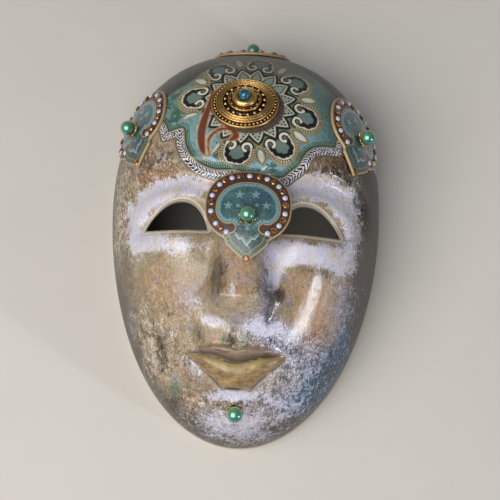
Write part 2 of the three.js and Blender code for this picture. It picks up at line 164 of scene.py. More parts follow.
def nose(x, y):
    """A flat bridge that rises to the tip, sloping sides, and a wing at each side."""
    tip = NOSE_Y + 3
    k = np.clip((y - tip) / (22 - tip), 0, 1)
    bridge = mix(9, 7, k)
    q = np.clip((x - bridge) / (mix(20, 15.5, k) - bridge), 0, 1)
    height = (NOSE_HEIGHT * (1 - k) ** 1.2 + 3 * k) * step(44, 16, y)
    crown = 0.05 * np.minimum(x / bridge, 1) ** 2 * (1 - q)
    wings = 4 * hump(x, y, 15.5, NOSE_Y + 5.5, 5.5, 6.5) * step(NOSE_Y - 6, NOSE_Y + 4, y)
    return height * (1 - step(0, 1, q) - crown) * step(NOSE_Y - 10, tip + 1, y) + wings


def lip_line(x):
    """Where the lips part: a shallow bow."""
    return MOUTH_Y + 1 - 4.6 * roll(x, 12.5) + 0.2 * np.clip(x / MOUTH_HALF, 0, 1)


def lip_reach(x, y):
    """How far a place lies into the upper and the lower lip: 0 at the parting, 1 at the edge."""
    u = np.clip(x / MOUTH_HALF, 0, 1)
    line = lip_line(x)
    upper = 7.4 * (1 - u**1.5) - 0.8 * roll(x, 4)
    lower = line - MOUTH_Y + 18 * (1 - np.clip((u - 0.3) / 0.7, 0, 1) ** 0.9)
    return (y - line) / np.maximum(upper, 0.5), (line - y) / np.maximum(lower, 0.5)


def lips(x, y):
    """Both lips swell from the parting line and fade toward the corners."""
    u = np.clip(x / MOUTH_HALF, 0, 1)
    up, down = lip_reach(x, y)
    z = -1.8 * roll(y - lip_line(x), 1) * step(MOUTH_HALF + 1, MOUTH_HALF - 9, x)
    z = z - hump(x, y, MOUTH_HALF + 1, MOUTH_Y, 4, 4)
    over = 3.2 * (1 - u**2.5) * step(1.35, 0.75, up) * step(-0.15, 0.75, up)
    under = 5.5 * (1 - u**2.2) * step(-0.12, 0.5, down) * step(1.15, 0.8, down)
    return z + np.where(x >= MOUTH_HALF, 0, np.where(up >= 0, over, under))


def jaw(x, y):
    """The round under the mouth, the groove over it, the hollow below it and the chin."""
    z = 6.5 * hump(x, y, 0, MOUTH_Y + 4, 32, 26)
    z = z - 1.2 * hump(x, y, 0, MOUTH_Y + 15, 3.4, 8)
    z = z + 0.8 * hump(x, y, 5.5, MOUTH_Y + 13, 2.6, 8)
    z = z - 2.2 * hump(x, y, 0, MOUTH_Y - 21.5, 16, 4.5)
    return z + 6.5 * hump(x, y, 0, MOUTH_Y - 33, 17, 14)


def face(px, y):
    """Height of the outer face: the dome plus the features, which run out toward the edge."""
    x = np.sqrt(px * px + 2)
    cheeks = 4.5 * hump(x, y, 44, -16, 24, 20) - 1.5 * hump(x, y, 66, 42, 12, 22)
    root = 3.5 * hump(x, y, 0, BROW_Y - 5, 17, 11)
    relief = cheeks + root + sockets(x, y) + nose(x, y) + lips(x, y) + jaw(x, y)
    return dome(px, y) + relief * step(1, 0.72, reach(px, y))


def inside(x, y):
    """Height of the inner face: the outer one followed by a ball of the wall's thickness."""
    wide = mix(2 * PAPER, PAPER, step(0.45, 0.8, reach(x, y)))
    z = face(x, y) - PAPER
    for k in (0.4, 0.75, 1):
        for a in np.arange(12) * math.pi / 6:
            near = face(x + k * wide * math.cos(a), y + k * wide * math.sin(a))
            z = np.minimum(z, near - PAPER * math.sqrt(1 - k * k))
    return z


print("nose tip stands", round(float(face(0.0, NOSE_Y + 3)), 1), "mm over the back edge")

# %% [markdown]
# ## From arrays to a piece
# Every piece is a set of points and a set of faces. The frame is centred on the whole mask, while
# the formulas count from the middle of the face's outline, so one shift along Y joins the two. It
# is read from the frame's own shell. A piece takes the place of the plain node that it dresses.

# %% Meshes from arrays
low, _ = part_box("mask_shell")
SHIFT = low[1] / MM + HALF_LENGTH + FLARE * WALL_CHIN


def make_piece(name, points, faces, materials, slot, replaced=(), smooth=True):
    """An object from points in millimetres and faces, on the one body, with its materials."""
    mesh = bpy.data.meshes.new(name)
    pointed = (faces == np.roll(faces, 1, 1)).any(1)  # quads that close in a pole are triangles
    tips = faces[pointed]
    tips = tips[tips != np.roll(tips, 1, 1)].reshape(-1, 3)
    every = faces[~pointed].tolist() + tips.tolist()
    mesh.from_pydata(((points + [0, SHIFT, 0]) * MM).tolist(), [], every)
    mesh.polygons.foreach_set("use_smooth", np.full(len(mesh.polygons), smooth))
    for material in materials:
        mesh.materials.append(material)
    piece = bpy.data.objects.new(name, mesh)
    bpy.context.scene.collection.objects.link(piece)
    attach(piece, "root")
    if replaced:
        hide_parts(*replaced)
    return piece


def quads_of(ids, flip=False):
    """One quad between each four neighbours of a grid of point numbers."""
    corners = [ids[:-1, :-1], ids[:-1, 1:], ids[1:, 1:], ids[1:, :-1]]
    return np.stack(corners[::-1] if flip else corners, -1).reshape(-1, 4)


def tell(piece):
    """Prints the size of a finished piece."""
    print(piece.name, len(piece.data.polygons), "faces")


def set_values(piece, name, values):
    """One number or three for each point, which a material reads by name."""
    kind, key = ("FLOAT_VECTOR", "vector") if np.ndim(values) > 1 else ("FLOAT", "value")
    layer = piece.data.attributes.new(name, kind, "POINT")
    layer.data.foreach_set(key, np.asarray(values, np.float32).ravel())


print("shift of the face in the frame:", round(SHIFT, 2), "mm")

# %% [markdown]
# ## The face as one closed shell
# The real shell is paper pressed into a mould, so it has a front, a back, a rolled back edge and
# two cut openings. A boolean could cut the eyes, but it leaves ragged faces round the cut. Here a
# square grid is pressed into the outline, a block of its cells is left out for each eye, and the
# loop round the block is drawn onto the eye's outline while its neighbours give way, as a net does.

# %% A net that is closer where the features are
COLUMNS, ROWS = 168, 226


def spaced(count, peaks):
    """Values from -1 to 1, closer together at each peak (place, spread, strength)."""
    fine = (np.arange(2000) + 0.5) / 1000 - 1
    density = 1 + sum(strength * roll(fine - at, spread) for at, spread, strength in peaks)
    total = np.concatenate([[0], np.cumsum(density)])
    return np.interp(np.linspace(0, total[-1], count + 1), total, np.linspace(-1, 1, 2001))


def press(inset):
    """The square net pressed into the outline, spaced along the curve of the dome."""
    u, v = np.meshgrid(spaced(COLUMNS, [[0, 0.45, 0.9]]), spaced(ROWS, [[-0.3, 0.4, 0.9]]))
    dx, dy = u * np.sqrt(1 - v * v / 2), v * np.sqrt(1 - u * u / 2)
    r = np.maximum(np.hypot(dx, dy), 1e-9)
    spread = np.sin(np.minimum(r, 1) * math.pi / 2) / r
    y = dy * spread * (HALF_LENGTH - inset)
    return np.stack([dx * spread * (half_width(y) - inset), y], -1), np.stack([dx, dy], -1)


net, disc = press(0)
print("net", net.shape[:2])

# %% The outline of an eye and the block of cells that it replaces
def even_steps(line, count):
    """Places at even steps along a line, without its last one."""
    length = np.concatenate([[0], np.cumsum(np.hypot(*np.diff(line, axis=0).T))])
    wanted = np.linspace(0, length[-1], count + 1)[:-1]
    return np.stack([np.interp(wanted, length, line[:, k]) for k in (0, 1)], -1)


def nearest(values, wanted):
    """Number of the value that lies nearest to the wanted one."""
    return int(np.abs(values - wanted).argmin())


middle_column = nearest(net[ROWS // 2, :, 0], EYE_X)
sill_row = nearest(net[:, middle_column, 1], EYE_Y - 0.5)
arch_row = nearest(net[:, middle_column, 1], EYE_Y + 0.82 * EYE_HEIGHT)
in_column = nearest(net[sill_row + 4, :, 0], EYE_IN + 0.05 * EYE_WIDTH)
out_column = nearest(net[sill_row + 4, :, 0], EYE_IN + 0.95 * EYE_WIDTH)


def eye_outline(along, up):
    """The sill from the inner corner, then the arch back to it, in even steps."""
    u = np.linspace(-1, 1, along + 1)[:-1]
    sill = np.stack([EYE_X + EYE_WIDTH / 2 * u, EYE_Y - 0.8 * (1 - u * u)], -1)
    u = np.cos(np.linspace(0, math.pi, 801))
    lean = np.abs(u + 0.12 * (1 - u * u)) ** 2.2
    rise = EYE_HEIGHT * np.clip(1 - lean, 0, 1) ** 0.72
    arch = np.stack([EYE_X + EYE_WIDTH / 2 * u, EYE_Y + rise], -1)
    return np.concatenate([sill, even_steps(arch, along + 2 * up)])


def widened(loop, out):
    """A closed loop, each point moved away from the opening by out."""
    along = np.roll(loop, -1, 0) - np.roll(loop, 1, 0)
    side = np.stack([along[:, 1], -along[:, 0]], -1)
    return loop + out * side / np.hypot(*side.T)[:, None]


def block_loop(side):
    """Rows and columns of the net round the block, in the order of the outline."""
    columns = np.arange(in_column, out_column)
    rows = np.arange(sill_row, arch_row)
    sill, arch = 0 * columns + sill_row, 0 * columns + arch_row
    loop_rows = np.concatenate([sill, rows, arch, rows[::-1] + 1])
    found = np.concatenate([columns, 0 * rows + out_column, columns[::-1] + 1, 0 * rows + in_column])
    return loop_rows, found if side > 0 else COLUMNS - found


outline = eye_outline(out_column - in_column, arch_row - sill_row)
print("loop round an eye:", len(outline), "points")

# %% Draw the loops onto the outline and let the net give way
ROUND = 0.6  # rounding of every cut edge


def drawn(points, out):
    """The net with both loops on the eye's outline; every other point takes the mean shift."""
    shift = np.zeros_like(points)
    held = np.zeros(points.shape[:2], bool)
    held[[0, -1], :] = held[:, [0, -1]] = True
    for side in (1, -1):
        rows, columns = block_loop(side)
        shift[rows, columns] = widened(outline, out) * [side, 1] - points[rows, columns]
        held[rows, columns] = True
    for _ in range(400):
        mean = (shift[2:, 1:-1] + shift[:-2, 1:-1] + shift[1:-1, 2:] + shift[1:-1, :-2]) / 4
        shift[1:-1, 1:-1] = np.where(held[1:-1, 1:-1, None], shift[1:-1, 1:-1], mean)
    return points + shift


def sheet_points(inset, height):
    """The net with a height for each point; its border stands on the wall."""
    plan = drawn(press(inset)[0], ROUND)
    z = height(plan[..., 0], plan[..., 1])
    on_border = np.ones(z.shape, bool)
    on_border[1:-1, 1:-1] = False
    z = np.where(on_border, wall_top(plan[..., 1]), z)
    return np.concatenate([plan, z[..., None]], -1)


front, back = sheet_points(0, face), sheet_points(PAPER, inside)
print("front and back:", front.shape, back.shape)

# %% The wall, the rolled back edge and the rims of the eyes
COURSES = 10
# A quarter of the round of a cut edge, as (how far in, how far to its end).
BEND = [(ROUND * (1 - math.cos(a)), ROUND * (1 - math.sin(a))) for a in np.radians([0, 30, 60, 90])]


def border(grid):
    """The border of a grid, once round with the clock reversed, its first point repeated."""
    parts = [grid[0, :-1], grid[:-1, -1], grid[-1, :0:-1], grid[:0:-1, 0], grid[:1, 0]]
    return np.concatenate(parts)


edge = border(front)


def wall_ring(inset, height):
    """The outline drawn in by inset, at a height under the top of the wall."""
    x, y = edge[:, 0], edge[:, 1]
    out = FLARE * (wall_top(y) - height) - inset
    wide = half_width(y)
    ring = [x * (wide + out) / wide, y * (HALF_LENGTH + out) / HALF_LENGTH]
    return np.stack([*ring, height + 0 * x], -1)


courses = [mix(wall_top(edge[:, 1]), ROUND, k / COURSES) for k in range(1, COURSES)]
wall_rings = [wall_ring(0, height) for height in courses] + [wall_ring(*bend) for bend in BEND]
outer_count = len(wall_rings)
wall_rings += [wall_ring(PAPER - inset, height) for inset, height in BEND[::-1]]
wall_rings += [wall_ring(PAPER, height) for height in courses[::-1]]


def rim_rings(side):
    """Rings from the front of an eye's rim over both rounded edges to its back."""
    rings = []
    for height, way, bends in ((face, -1, BEND[1:]), (inside, 1, BEND[:0:-1])):
        for far, out in bends:
            plan = widened(outline, out) * [side, 1]
            rings.append(np.column_stack([plan, height(*plan.T) + way * far]))
    return rings


print("rings of the wall:", len(wall_rings))

# %% Join the patches, each with its share of the texture
points, quads, corners_uv, inner = [], [], [], []


def add_points(new):
    """Adds points and returns their numbers in the same layout."""
    first = sum(map(len, points))
    points.append(new.reshape(-1, 3))
    return first + np.arange(len(points[-1])).reshape(new.shape[:-1])


def add_patch(ids, uv, flip, is_inner, keep=None):
    """Adds the quads of a grid and the texture place of each of their corners."""
    found = quads_of(ids, flip)
    places = [uv[:-1, :-1], uv[:-1, 1:], uv[1:, 1:], uv[1:, :-1]]
    places = np.stack(places[::-1] if flip else places, -2).reshape(-1, 4, 2)
    if keep is not None:
        found, places = found[keep], places[keep]
    quads.append(found)
    corners_uv.append(places)
    inner.append(np.full(len(found), is_inner))


def outer_uv(place):
    """The front and the outer wall fill most of the square."""
    return place * [0.255, 0.395] + [0.305, 0.495]


def inner_uv(place):
    """The back and the inner wall take what is left beside them."""
    return place * [0.14, 0.215] + [0.81, 0.27]


kept = np.ones((ROWS, COLUMNS), bool)
kept[sill_row:arch_row, in_column:out_column] = False
kept[sill_row:arch_row, COLUMNS - out_column : COLUMNS - in_column] = False
front_ids, back_ids = add_points(front), add_points(back)
add_patch(front_ids, outer_uv(disc), False, False, kept.ravel())
add_patch(back_ids, inner_uv(disc), True, True, kept.ravel())

edge_disc = border(disc)
ring_ids = [add_points(ring[:-1]) for ring in wall_rings]
ring_ids = [np.append(ids, ids[0]) for ids in ring_ids]
ring_ids = [border(front_ids), *ring_ids, border(back_ids)]
fall = (wall_top(edge[:, 1]) / 150)[:, None]
spread_out = np.cumsum([0] + [1 / COURSES] * (COURSES - 1) + [0.04] * len(BEND))
down = np.stack([edge_disc * (1 + fall * k) for k in spread_out])
up = np.stack([edge_disc * (1 + fall * k) for k in (spread_out[-1] + 0.03, *spread_out[::-1])])
add_patch(np.stack(ring_ids[: outer_count + 1]), outer_uv(down), True, False)
add_patch(np.stack(ring_ids[outer_count:]), inner_uv(up), True, True)

for side in (1, -1):
    rows, columns = block_loop(side)
    rings = [add_points(ring) for ring in rim_rings(side)]
    rings = [front_ids[rows, columns], *rings, back_ids[rows, columns]]
    rings = np.stack([np.append(ids, ids[0]) for ids in rings])
    loop = np.append(rows, rows[0]), np.append(columns, columns[0])
    centre = disc[loop][:-1].mean(0)
    shares = np.linspace(1, 0.4, len(rings))[:, None, None]
    add_patch(rings, outer_uv(mix(centre, disc[loop], shares)), side < 0, False)

points, quads, corners_uv, inner = map(np.concatenate, (points, quads, corners_uv, inner))
used, renumbered = np.unique(quads, return_inverse=True)
points, quads = points[used], renumbered.reshape(quads.shape)
print("shell:", len(points), "points,", 2 * len(quads), "triangles")


# %% [markdown]
# ## Places on the face
# The boss and the cards are laid on the bare dome, so the frame finds a spot on it, stands three
# axes there, and drops each point onto the dome along the spot's own normal. The same is done here,
# for whole arrays at once.

# %% Spots and draping
def level(p):
    """0 on the dome, less inside it and more outside."""
    top = wall_top(p[..., 1])
    rise = np.maximum(p[..., 2] - top, 0) / DOME
    out = FLARE * np.maximum(top - p[..., 2], 0)
    return rise**2 + reach(p[..., 0], p[..., 1], out) ** (DOME_POWER / 2) - 1


def slope(p):
    """Direction in which the level grows fastest."""
    e = 0.01
    return np.stack([(level(p + d) - level(p - d)) / (2 * e) for d in np.eye(3) * e], -1)


def settle(p, n):
    """The point of the dome that lies from p along n."""
    for _ in range(12):
        p = p + n * np.clip(-level(p) / (slope(p) @ n), -4, 4)[..., None]
    return p


def unit(v):
    """v at length 1."""
    return v / np.linalg.norm(v, axis=-1, keepdims=True)


def spot(x, y, z, heading):
    """A place on the dome: its middle, and the axes s across, t ahead and n outward."""
    c = np.array([x, y, z], float)
    for _ in range(3):
        c = settle(c, unit(slope(c)))
    n = unit(slope(c))
    t = unit(heading - (heading @ n) * n)
    return c, np.cross(t, n), t, n


def drape(place, s, t, lift):
    """The points above (s, t) that stand lift over the dome."""
    c, across, ahead, n = place
    flat = c + s[..., None] * across + t[..., None] * ahead
    return settle(flat, n) + np.asarray(lift)[..., None] * n


BOSS_RADIUS, BOSS_OVAL = 19.5, 0.88
boss = spot(-1.6, 68.6, 80, np.array([0.0, 1, 0]))
print("middle of the boss:", boss[0].round(1))

# %% [markdown]
# ## Finishes as formulas
# A printed border or a lace edge could be an image, but then it is tied to one resolution and one
# layout. Here every finish is worked out by nodes from distances in millimetres. The small class
# below lets a pattern be written as arithmetic: each operation on it adds one Math node.

# %% Numbers and colours inside a material
class Ink:
    """One number of the material that is being made."""

    tree = None

    def __init__(self, socket):
        self.socket = socket

    def __add__(self, other):
        return worked("ADD", self, other)

    def __sub__(self, other):
        return worked("SUBTRACT", self, other)

    def __rsub__(self, other):
        return worked("SUBTRACT", other, self)

    def __mul__(self, other):
        return worked("MULTIPLY", self, other)

    def __truediv__(self, other):
        return worked("DIVIDE", self, other)

    def __pow__(self, other):
        return worked("POWER", self, other)

    def __abs__(self):
        return worked("ABSOLUTE", self)

    __radd__, __rmul__ = __add__, __mul__


def node(kind, **settings):
    """A node of the current material."""
    made = Ink.tree.nodes.new(kind)
    for key, value in settings.items():
        setattr(made, key, value)
    return made


def feed(socket, value):
    """Gives a socket a fixed value or the output of other nodes."""
    if isinstance(value, Ink):
        value = value.socket
    if isinstance(value, bpy.types.NodeSocket):
        Ink.tree.links.new(value, socket)
    else:
        socket.default_value = value


def set_inputs(made, **values):
    """Gives inputs their values, each named with _ for a space."""
    for name, value in values.items():
        feed(made.inputs[name.replace("_", " ")], value)


def worked(operation, *values):
    """A Math node."""
    made = node("ShaderNodeMath", operation=operation)
    for socket, value in zip(made.inputs, values):
        feed(socket, value)
    return Ink(made.outputs[0])


# The smaller and the larger of two numbers; sine, cosine and arctangent in radians.
least, most, sine, cosine, angle_of = (
    partial(worked, name) for name in ("MINIMUM", "MAXIMUM", "SINE", "COSINE", "ARCTAN2")
)


def length_of(a, b):
    """Distance from the origin."""
    return worked("SQRT", a * a + b * b)


def ramp(low, high, value):
    """0 at low and 1 at high, straight between them and level beyond."""
    made = node("ShaderNodeMapRange")
    for socket, given in zip(made.inputs, (value, low, high)):
        feed(socket, given)
    return Ink(made.outputs[0])


def zigzag(value):
    """0 at each whole number and 1 halfway between two."""
    return worked("PINGPONG", value, 0.5) * 2


EDGE = 0.12  # softness of a printed edge in millimetres


def under(value, limit, soft=EDGE):
    """1 where the value is under the limit."""
    return ramp(limit + soft, limit - soft, value)


def between(value, low, high, soft=EDGE):
    """1 where the value lies between two limits."""
    return ramp(low - soft, low + soft, value) * under(value, high, soft)


def rgb(red, green, blue):
    """A colour as a painter's chart gives it, 0 to 255, made linear for the shader."""
    values = np.array([red, green, blue]) / 255
    linear = np.where(values <= 0.04045, values / 12.92, ((values + 0.055) / 1.055) ** 2.4)
    return (*linear.tolist(), 1.0)


def paint(base, colour, mask):
    """One colour laid over another where the mask is 1."""
    made = node("ShaderNodeMix", data_type="RGBA")
    for socket, value in zip((made.inputs[0], made.inputs[6], made.inputs[7]), (mask, base, colour)):
        feed(socket, value)
    return made.outputs[2]


def coats(colour, *layers):
    """Coats laid over a colour in turn, each (red, green, blue, mask) or (colour, mask)."""
    for *coat, mask in layers:
        colour = paint(colour, rgb(*coat) if len(coat) == 3 else coat[0], mask)
    return colour


def attribute(name):
    """A number that is stored on the points of the piece."""
    return Ink(node("ShaderNodeAttribute", attribute_name=name).outputs["Fac"])


def attribute_parts(name):
    """The three parts of a place that is stored on the points."""
    split = node("ShaderNodeSeparateXYZ")
    feed(split.inputs[0], node("ShaderNodeAttribute", attribute_name=name).outputs["Vector"])
    return [Ink(part) for part in split.outputs]


def place_in_mm(stretch=(1, 1, 1)):
    """Place in the object in millimetres, each axis stretched."""
    made = node("ShaderNodeVectorMath", operation="MULTIPLY")
    feed(made.inputs[0], node("ShaderNodeTexCoord").outputs["Object"])
    feed(made.inputs[1], [1000 * k for k in stretch])
    return made.outputs[0]


def noise(where, size, detail=4.0, rough=0.55, distortion=0.0):
    """Cloudy noise from 0 to 1 whose clouds are about as wide as size, in millimetres."""
    made = node("ShaderNodeTexNoise")
    feed(made.inputs["Vector"], where)
    set_inputs(made, Scale=1 / size, Detail=detail, Roughness=rough, Distortion=distortion)
    return Ink(made.outputs[0])


def new_material(name):
    """An empty material that the following nodes go into, and its shader."""
    material = bpy.data.materials.new(name)
    material.use_nodes = True
    Ink.tree = material.node_tree
    return material, material.node_tree.nodes["Principled BSDF"]


def raise_surface(shader, height, depth, strength=1.0, socket="Normal"):
    """Bump: height from 0 to 1 stands for a depth in millimetres."""
    made = node("ShaderNodeBump")
    set_inputs(made, Strength=strength, Distance=depth * MM, Height=height)
    feed(shader.inputs[socket], made.outputs[0])


print("one grey in linear light:", round(rgb(128, 128, 128)[0], 3))

# %% [markdown]
# ## Where the print lies
# The printed field covers the forehead. Its lace edge runs in a bracket over both brows, and stone
# medallions hide its ends. A chart unrolls the forehead: p runs across and q upward, in
# millimetres along the surface from a point near the boss.

# %% The chart of the forehead
def chart_of(place):
    """(p, q): the direction of a place in the tangent plane, with its arc length as distance."""
    c = np.array([3.0, 66, 0])
    c[2] = dome(c[0], c[1])
    n = unit(slope(c))
    t = unit(np.array([0, 1, 0]) - n[1] * n)
    v = place - c
    a, b, h = v @ np.cross(t, n), v @ t, v @ n
    chord, plan = np.linalg.norm(v, axis=-1), np.maximum(np.hypot(a, b), 1e-6)
    arc = chord * (1 + (h / np.maximum(chord, 1e-6)) ** 2 / 6)
    return np.stack([arc * a / plan, arc * b / plan], -1)


def curve_through(places, step_length=0.8):
    """A smooth line through places; a place given twice is a corner."""
    runs, run = [], [places[0]]
    for before, here in zip(places, places[1:]):
        if here == before:
            runs.append(run)
            run = [here]
        else:
            run.append(here)
    runs.append(run)
    parts = []
    for run in runs:
        p = np.array([run[0], *run, run[-1]], float)
        for k in range(1, len(p) - 2):
            a, b, c, d = p[k - 1 : k + 3]
            w = np.linspace(0, 1, max(int(np.hypot(*(c - b)) / step_length), 2))[:, None]
            parts.append(b + 0.5 * w * (c - a + w * (2 * a - 5 * b + 4 * c - d
                                                     + w * (3 * (b - c) + d - a))))
    return np.concatenate(parts)


def to_line(places, line):
    """Distance from each place to a line, the length along it, and the side it lies on."""
    a, b = line[:-1], line[1:]
    ab = b - a
    size = np.maximum((ab**2).sum(-1), 1e-9)
    start = np.concatenate([[0], np.cumsum(np.sqrt(size))])[:-1]
    best = np.full(len(places), 1e9)
    along, side = np.zeros(len(places)), np.zeros(len(places))
    for k in range(len(a)):
        v = places - a[k]
        w = np.clip(v @ ab[k] / size[k], 0, 1)
        d = np.hypot(*(v - w[:, None] * ab[k]).T)
        nearer = d < best - 1e-9
        best = np.where(nearer, d, best)
        along = np.where(nearer, start[k] + w * np.sqrt(size[k]), along)
        side = np.where(nearer, np.sign(ab[k, 0] * v[:, 1] - ab[k, 1] * v[:, 0]), side)
    return best, along, side


def holds(places, line):
    """Whether each place lies inside a closed line: it crosses it an odd number of times."""
    x, y = places.T
    within = np.zeros(len(places), bool)
    for (x0, y0), (x1, y1) in zip(line, np.roll(line, -1, 0)):
        if y0 != y1:
            within ^= ((y0 > y) != (y1 > y)) & (x < (x1 - x0) * (y - y0) / (y1 - y0) + x0)
    return within


LACE = [
    (-160, -22), (-110, -8), (-90, 0), (-70, 3), (-58.75, 1.9), (-55.6, -0.6), (-53.5, -5), (-52.5, -9),
    (-52.5, -9), (-48.1, -8.5), (-42.25, -7.75), (-42.25, -7.75), (-41.9, -11.25),
    (-41.25, -16.25), (-38.75, -22.5), (-35, -28.1), (-30, -31.9), (-22.5, -35), (-16.25, -36.25),
    (-5, -39), (2, -40), (10, -39.5), (20.6, -37.5), (25, -33.75), (30, -29.4), (32.5, -23.75),
    (36.25, -18.75), (42.5, -15.6), (50, -13.75), (53.75, -12.5), (53.75, -12.5), (54.4, -7.5),
    (56.25, -2.5), (60, 0), (72, 1), (90, -2), (110, -8), (160, -22),
]
CREST = [
    (-160, -6), (-110, 6), (-80, 12), (-62, 19), (-55.5, 22), (-46, 26), (-38, 31), (-31, 38), (-23, 45),
    (-15, 52), (-1, 57), (14, 56), (25.5, 50), (34, 43.5), (44, 37), (53, 29), (60, 21), (64, 10),
    (72, 6), (110, 2), (160, -8),
]
TAIL_LINE = [(-20, 20), (-24, 15), (-25, 9), (-26.5, 3), (-28, -3), (-29, -9), (-29, -15),
             (-27.6, -22), (-25.4, -27)]
TAIL_HALF = [0.3, 0.9, 1.3, 1.7, 2.1, 2.3, 2.1, 1.5, 0.1]
BRANCH_LINE = [(-23, -26), (-25, -18.6), (-23.4, -13), (-18.8, -9.3), (-13.7, -8.5), (-10, -11),
               (-8.7, -14), (-12, -15.6)]
BRANCH_HALF = [0.2, 0.6, 0.7, 0.8, 0.9, 1.1, 1.5, 1.1]

chart = chart_of(points)
CHART_SIDE, CHART_END = 160, 300  # beyond the mask in each direction


def border_far(line, end):
    """Distance to a border of the print, less than 0 beyond it, and the length along it."""
    line = curve_through(line)
    far, run, _ = to_line(chart, line)
    within = holds(chart, np.concatenate([line, [[CHART_SIDE, end], [-CHART_SIDE, end]]]))
    return np.where(within, far, -far), run


lace_far, lace_run = border_far(LACE, CHART_END)
crest_far, _ = border_far(CREST, -CHART_END)


def stroke_far(line, half):
    """Distance to the edge of a stroke of changing width, less than 0 inside it."""
    far, run, _ = to_line(chart, curve_through(line))
    return far - np.interp(run, np.linspace(0, run.max(), len(half)), half)


SPRIGS = [(-46, 20, 8, 4, 0.9), (-44, 9, 5, 5, 0.9), (-48, 1, 6, 4, 0.8), (-19.4, -24, 2.5, 5, 1.0),
          (12.5, -31, 3, 3, 0.9), (-54, 14, 5, 6, 0.7), (47, 8, 3, 6, 0.5), (-4, 44, 9, 2, 0.6)]
boss_place = (points - boss[0]) @ np.stack(boss[1:], -1) / [1, BOSS_OVAL, 1]
print("length of the lace edge:", round(lace_run.max()), "mm")

# %% Where the gesso, the leaf, the stains and the painted shade lie
# Each patch is (x, y, reach across, reach up, strength) on the face in millimetres.
PATCHES = {
    "gesso": [  # rubbed through to the white ground
        (-61, 11, 9, 11, 0.9), (-49, 21, 12, 8, 1.0), (-34, 25, 13, 7, 0.9), (-19, 24, 8, 7, 0.5),
        (-52, -8, 14, 5.5, 0.95), (-30, -11, 16, 4.5, 0.55), (-62, -3, 7, 8, 0.6), (-24, -40, 6, 10, 0.35),
        (27, 26, 11, 8, 1.2), (43, 27, 14, 7, 1.5), (57, 21, 9, 9, 1.3), (64, 4, 6, 11, 0.9),
        (22, -13, 8, 10, 1.0), (40, -13, 17, 6.5, 1.2), (59, -13, 9, 8, 0.9), (19, -28, 4, 10, 0.8),
        (-14, -52, 7, 3.4, 0.85), (-3, -36, 3, 5, 0.6), (13, -54, 8, 5.5, 1.2), (24, -54, 5, 5, 0.5),
        (-24, -76, 9, 7, 0.6), (-38, -60, 5, 5, 0.4), (-2, -91, 15, 3.2, 1.2), (26, -66, 9, 6, 0.5),
        (2, -107, 26, 10, 0.95), (36, -96, 10, 8, 0.4), (20, -88, 6, 8, 0.6), (-64, -50, 4, 8, 0.3),
    ],
    "peach": [  # copper-coloured leaf
        (42, -36, 18, 16, 0.9), (40, -54, 12, 8, 1.0), (1, -28, 8, 16, 0.7), (-40, -34, 16, 18, 0.55),
        (-12, -64, 8, 7, 0.8), (-30, -92, 12, 8, 0.5), (-50, 42, 14, 7, 0.4), (-50, 31, 16, 3.5, 0.9),
        (44, 33, 12, 3, 0.5), (50, 44, 14, 7, 0.4), (-60, -70, 8, 10, 0.4), (70, 30, 4, 14, 0.9),
    ],
    "cool": [  # grey and lavender, where the ground shows through thin leaf
        (16, -35, 5, 16, 0.9), (50, -74, 22, 16, 1.0), (62, -40, 10, 26, 0.8), (2, -108, 34, 10, 0.9),
        (24, -62, 12, 10, 0.7), (-28, -38, 7, 10, 0.5), (64, 4, 8, 16, 0.6), (30, -92, 16, 10, 0.8),
        (-64, -50, 6, 14, 0.4), (-24, -76, 10, 8, 0.5), (-55, -8, 12, 6, 0.5), (30, -12, 20, 7, 0.8),
        (11, -54, 16, 6, 0.9), (-2, -91, 16, 4, 1.0),
    ],
    "umber": [  # brown glaze, and painted shade down the left side of the nose
        (-43, -71, 4, 8, 0.8), (-46, -61, 4, 5, 0.6), (-60, -66, 5, 14, 0.5), (35, 36, 6, 2.6, 0.6),
        (46, 36.5, 7, 3, 0.6), (57, 33, 5, 4, 0.7), (65, 25, 3, 6, 0.9), (-3, -62, 6, 4, 0.9),
        (72, 30, 4, 16, 0.9),
        # painted shade: the first patch lays shade, together with brown streaks, down the left side of the
        # nose
        (-12, -29, 6, 17, 0.75), (23, -36, 3.4, 5, 0.9), (16, -51, 3, 3, 0.7), (45, -21, 12, 5, 0.5),
        (-35, -95, 8, 6, 0.6), (-74, -30, 4, 20, 0.5), (-20, -60, 5, 4, 0.4), (58, 42, 10, 5, 0.6),
    ],
    "malachite": [
        (-36, -88, 5, 6, 1.1), (4, -62, 2.2, 4.5, 1.4), (-8, -61, 2.4, 4, 0.7), (-70, -38, 4, 12, 0.7),
        (-60, -76, 4, 6, 0.6), (46, -86, 5, 4, 0.4), (66, 38, 4, 10, 0.8), (-40, 24, 6, 3, 0.3),
    ],
    "azurite": [(56, -72, 8, 12, 1.2), (46, -84, 9, 8, 1.1), (62, -58, 4, 10, 0.9), (36, -94, 8, 6, 0.6)],
    "dim": [  # painted shade: toward the edges, on the upper forehead, beside the nose and down its right side
        (-58, 40, 20, 10, 0.6), (58, 42, 20, 12, 0.8), (-64, -64, 10, 26, 0.4), (-70, -30, 6, 24, 0.8),
        (74, -10, 9, 64, 1.9), (54, -80, 16, 16, 0.5), (-20, -58, 8, 8, 0.3), (-36, -100, 18, 8, 0.4),
        (17, -36, 4.5, 16, 0.7),
    ],
    "worn": [  # where the leaf is broken into flecks
        (0, -106, 36, 16, 0.8), (46, -78, 24, 20, 1.2), (70, -10, 12, 60, 0.9), (-52, -66, 16, 24, 0.8),
        (-74, 10, 8, 45, 0.7), (-25, -70, 12, 10, 0.4), (24, -64, 13, 12, 0.8), (-55, 38, 18, 10, 0.7),
        (56, 38, 18, 12, 0.7), (15, -36, 6, 16, 0.5), (-30, -96, 14, 10, 0.6), (-36, 26, 10, 6, 0.3),
        (0, -62, 10, 6, 0.5),
    ],
}


def tone(patches, x=points[:, 0], y=points[:, 1]):
    """How strongly a set of patches shows at each point."""
    return sum(much * hump(x, y, x0, y0, rx, ry) for x0, y0, rx, ry, much in patches)


x, y = points[:, 0], points[:, 1]
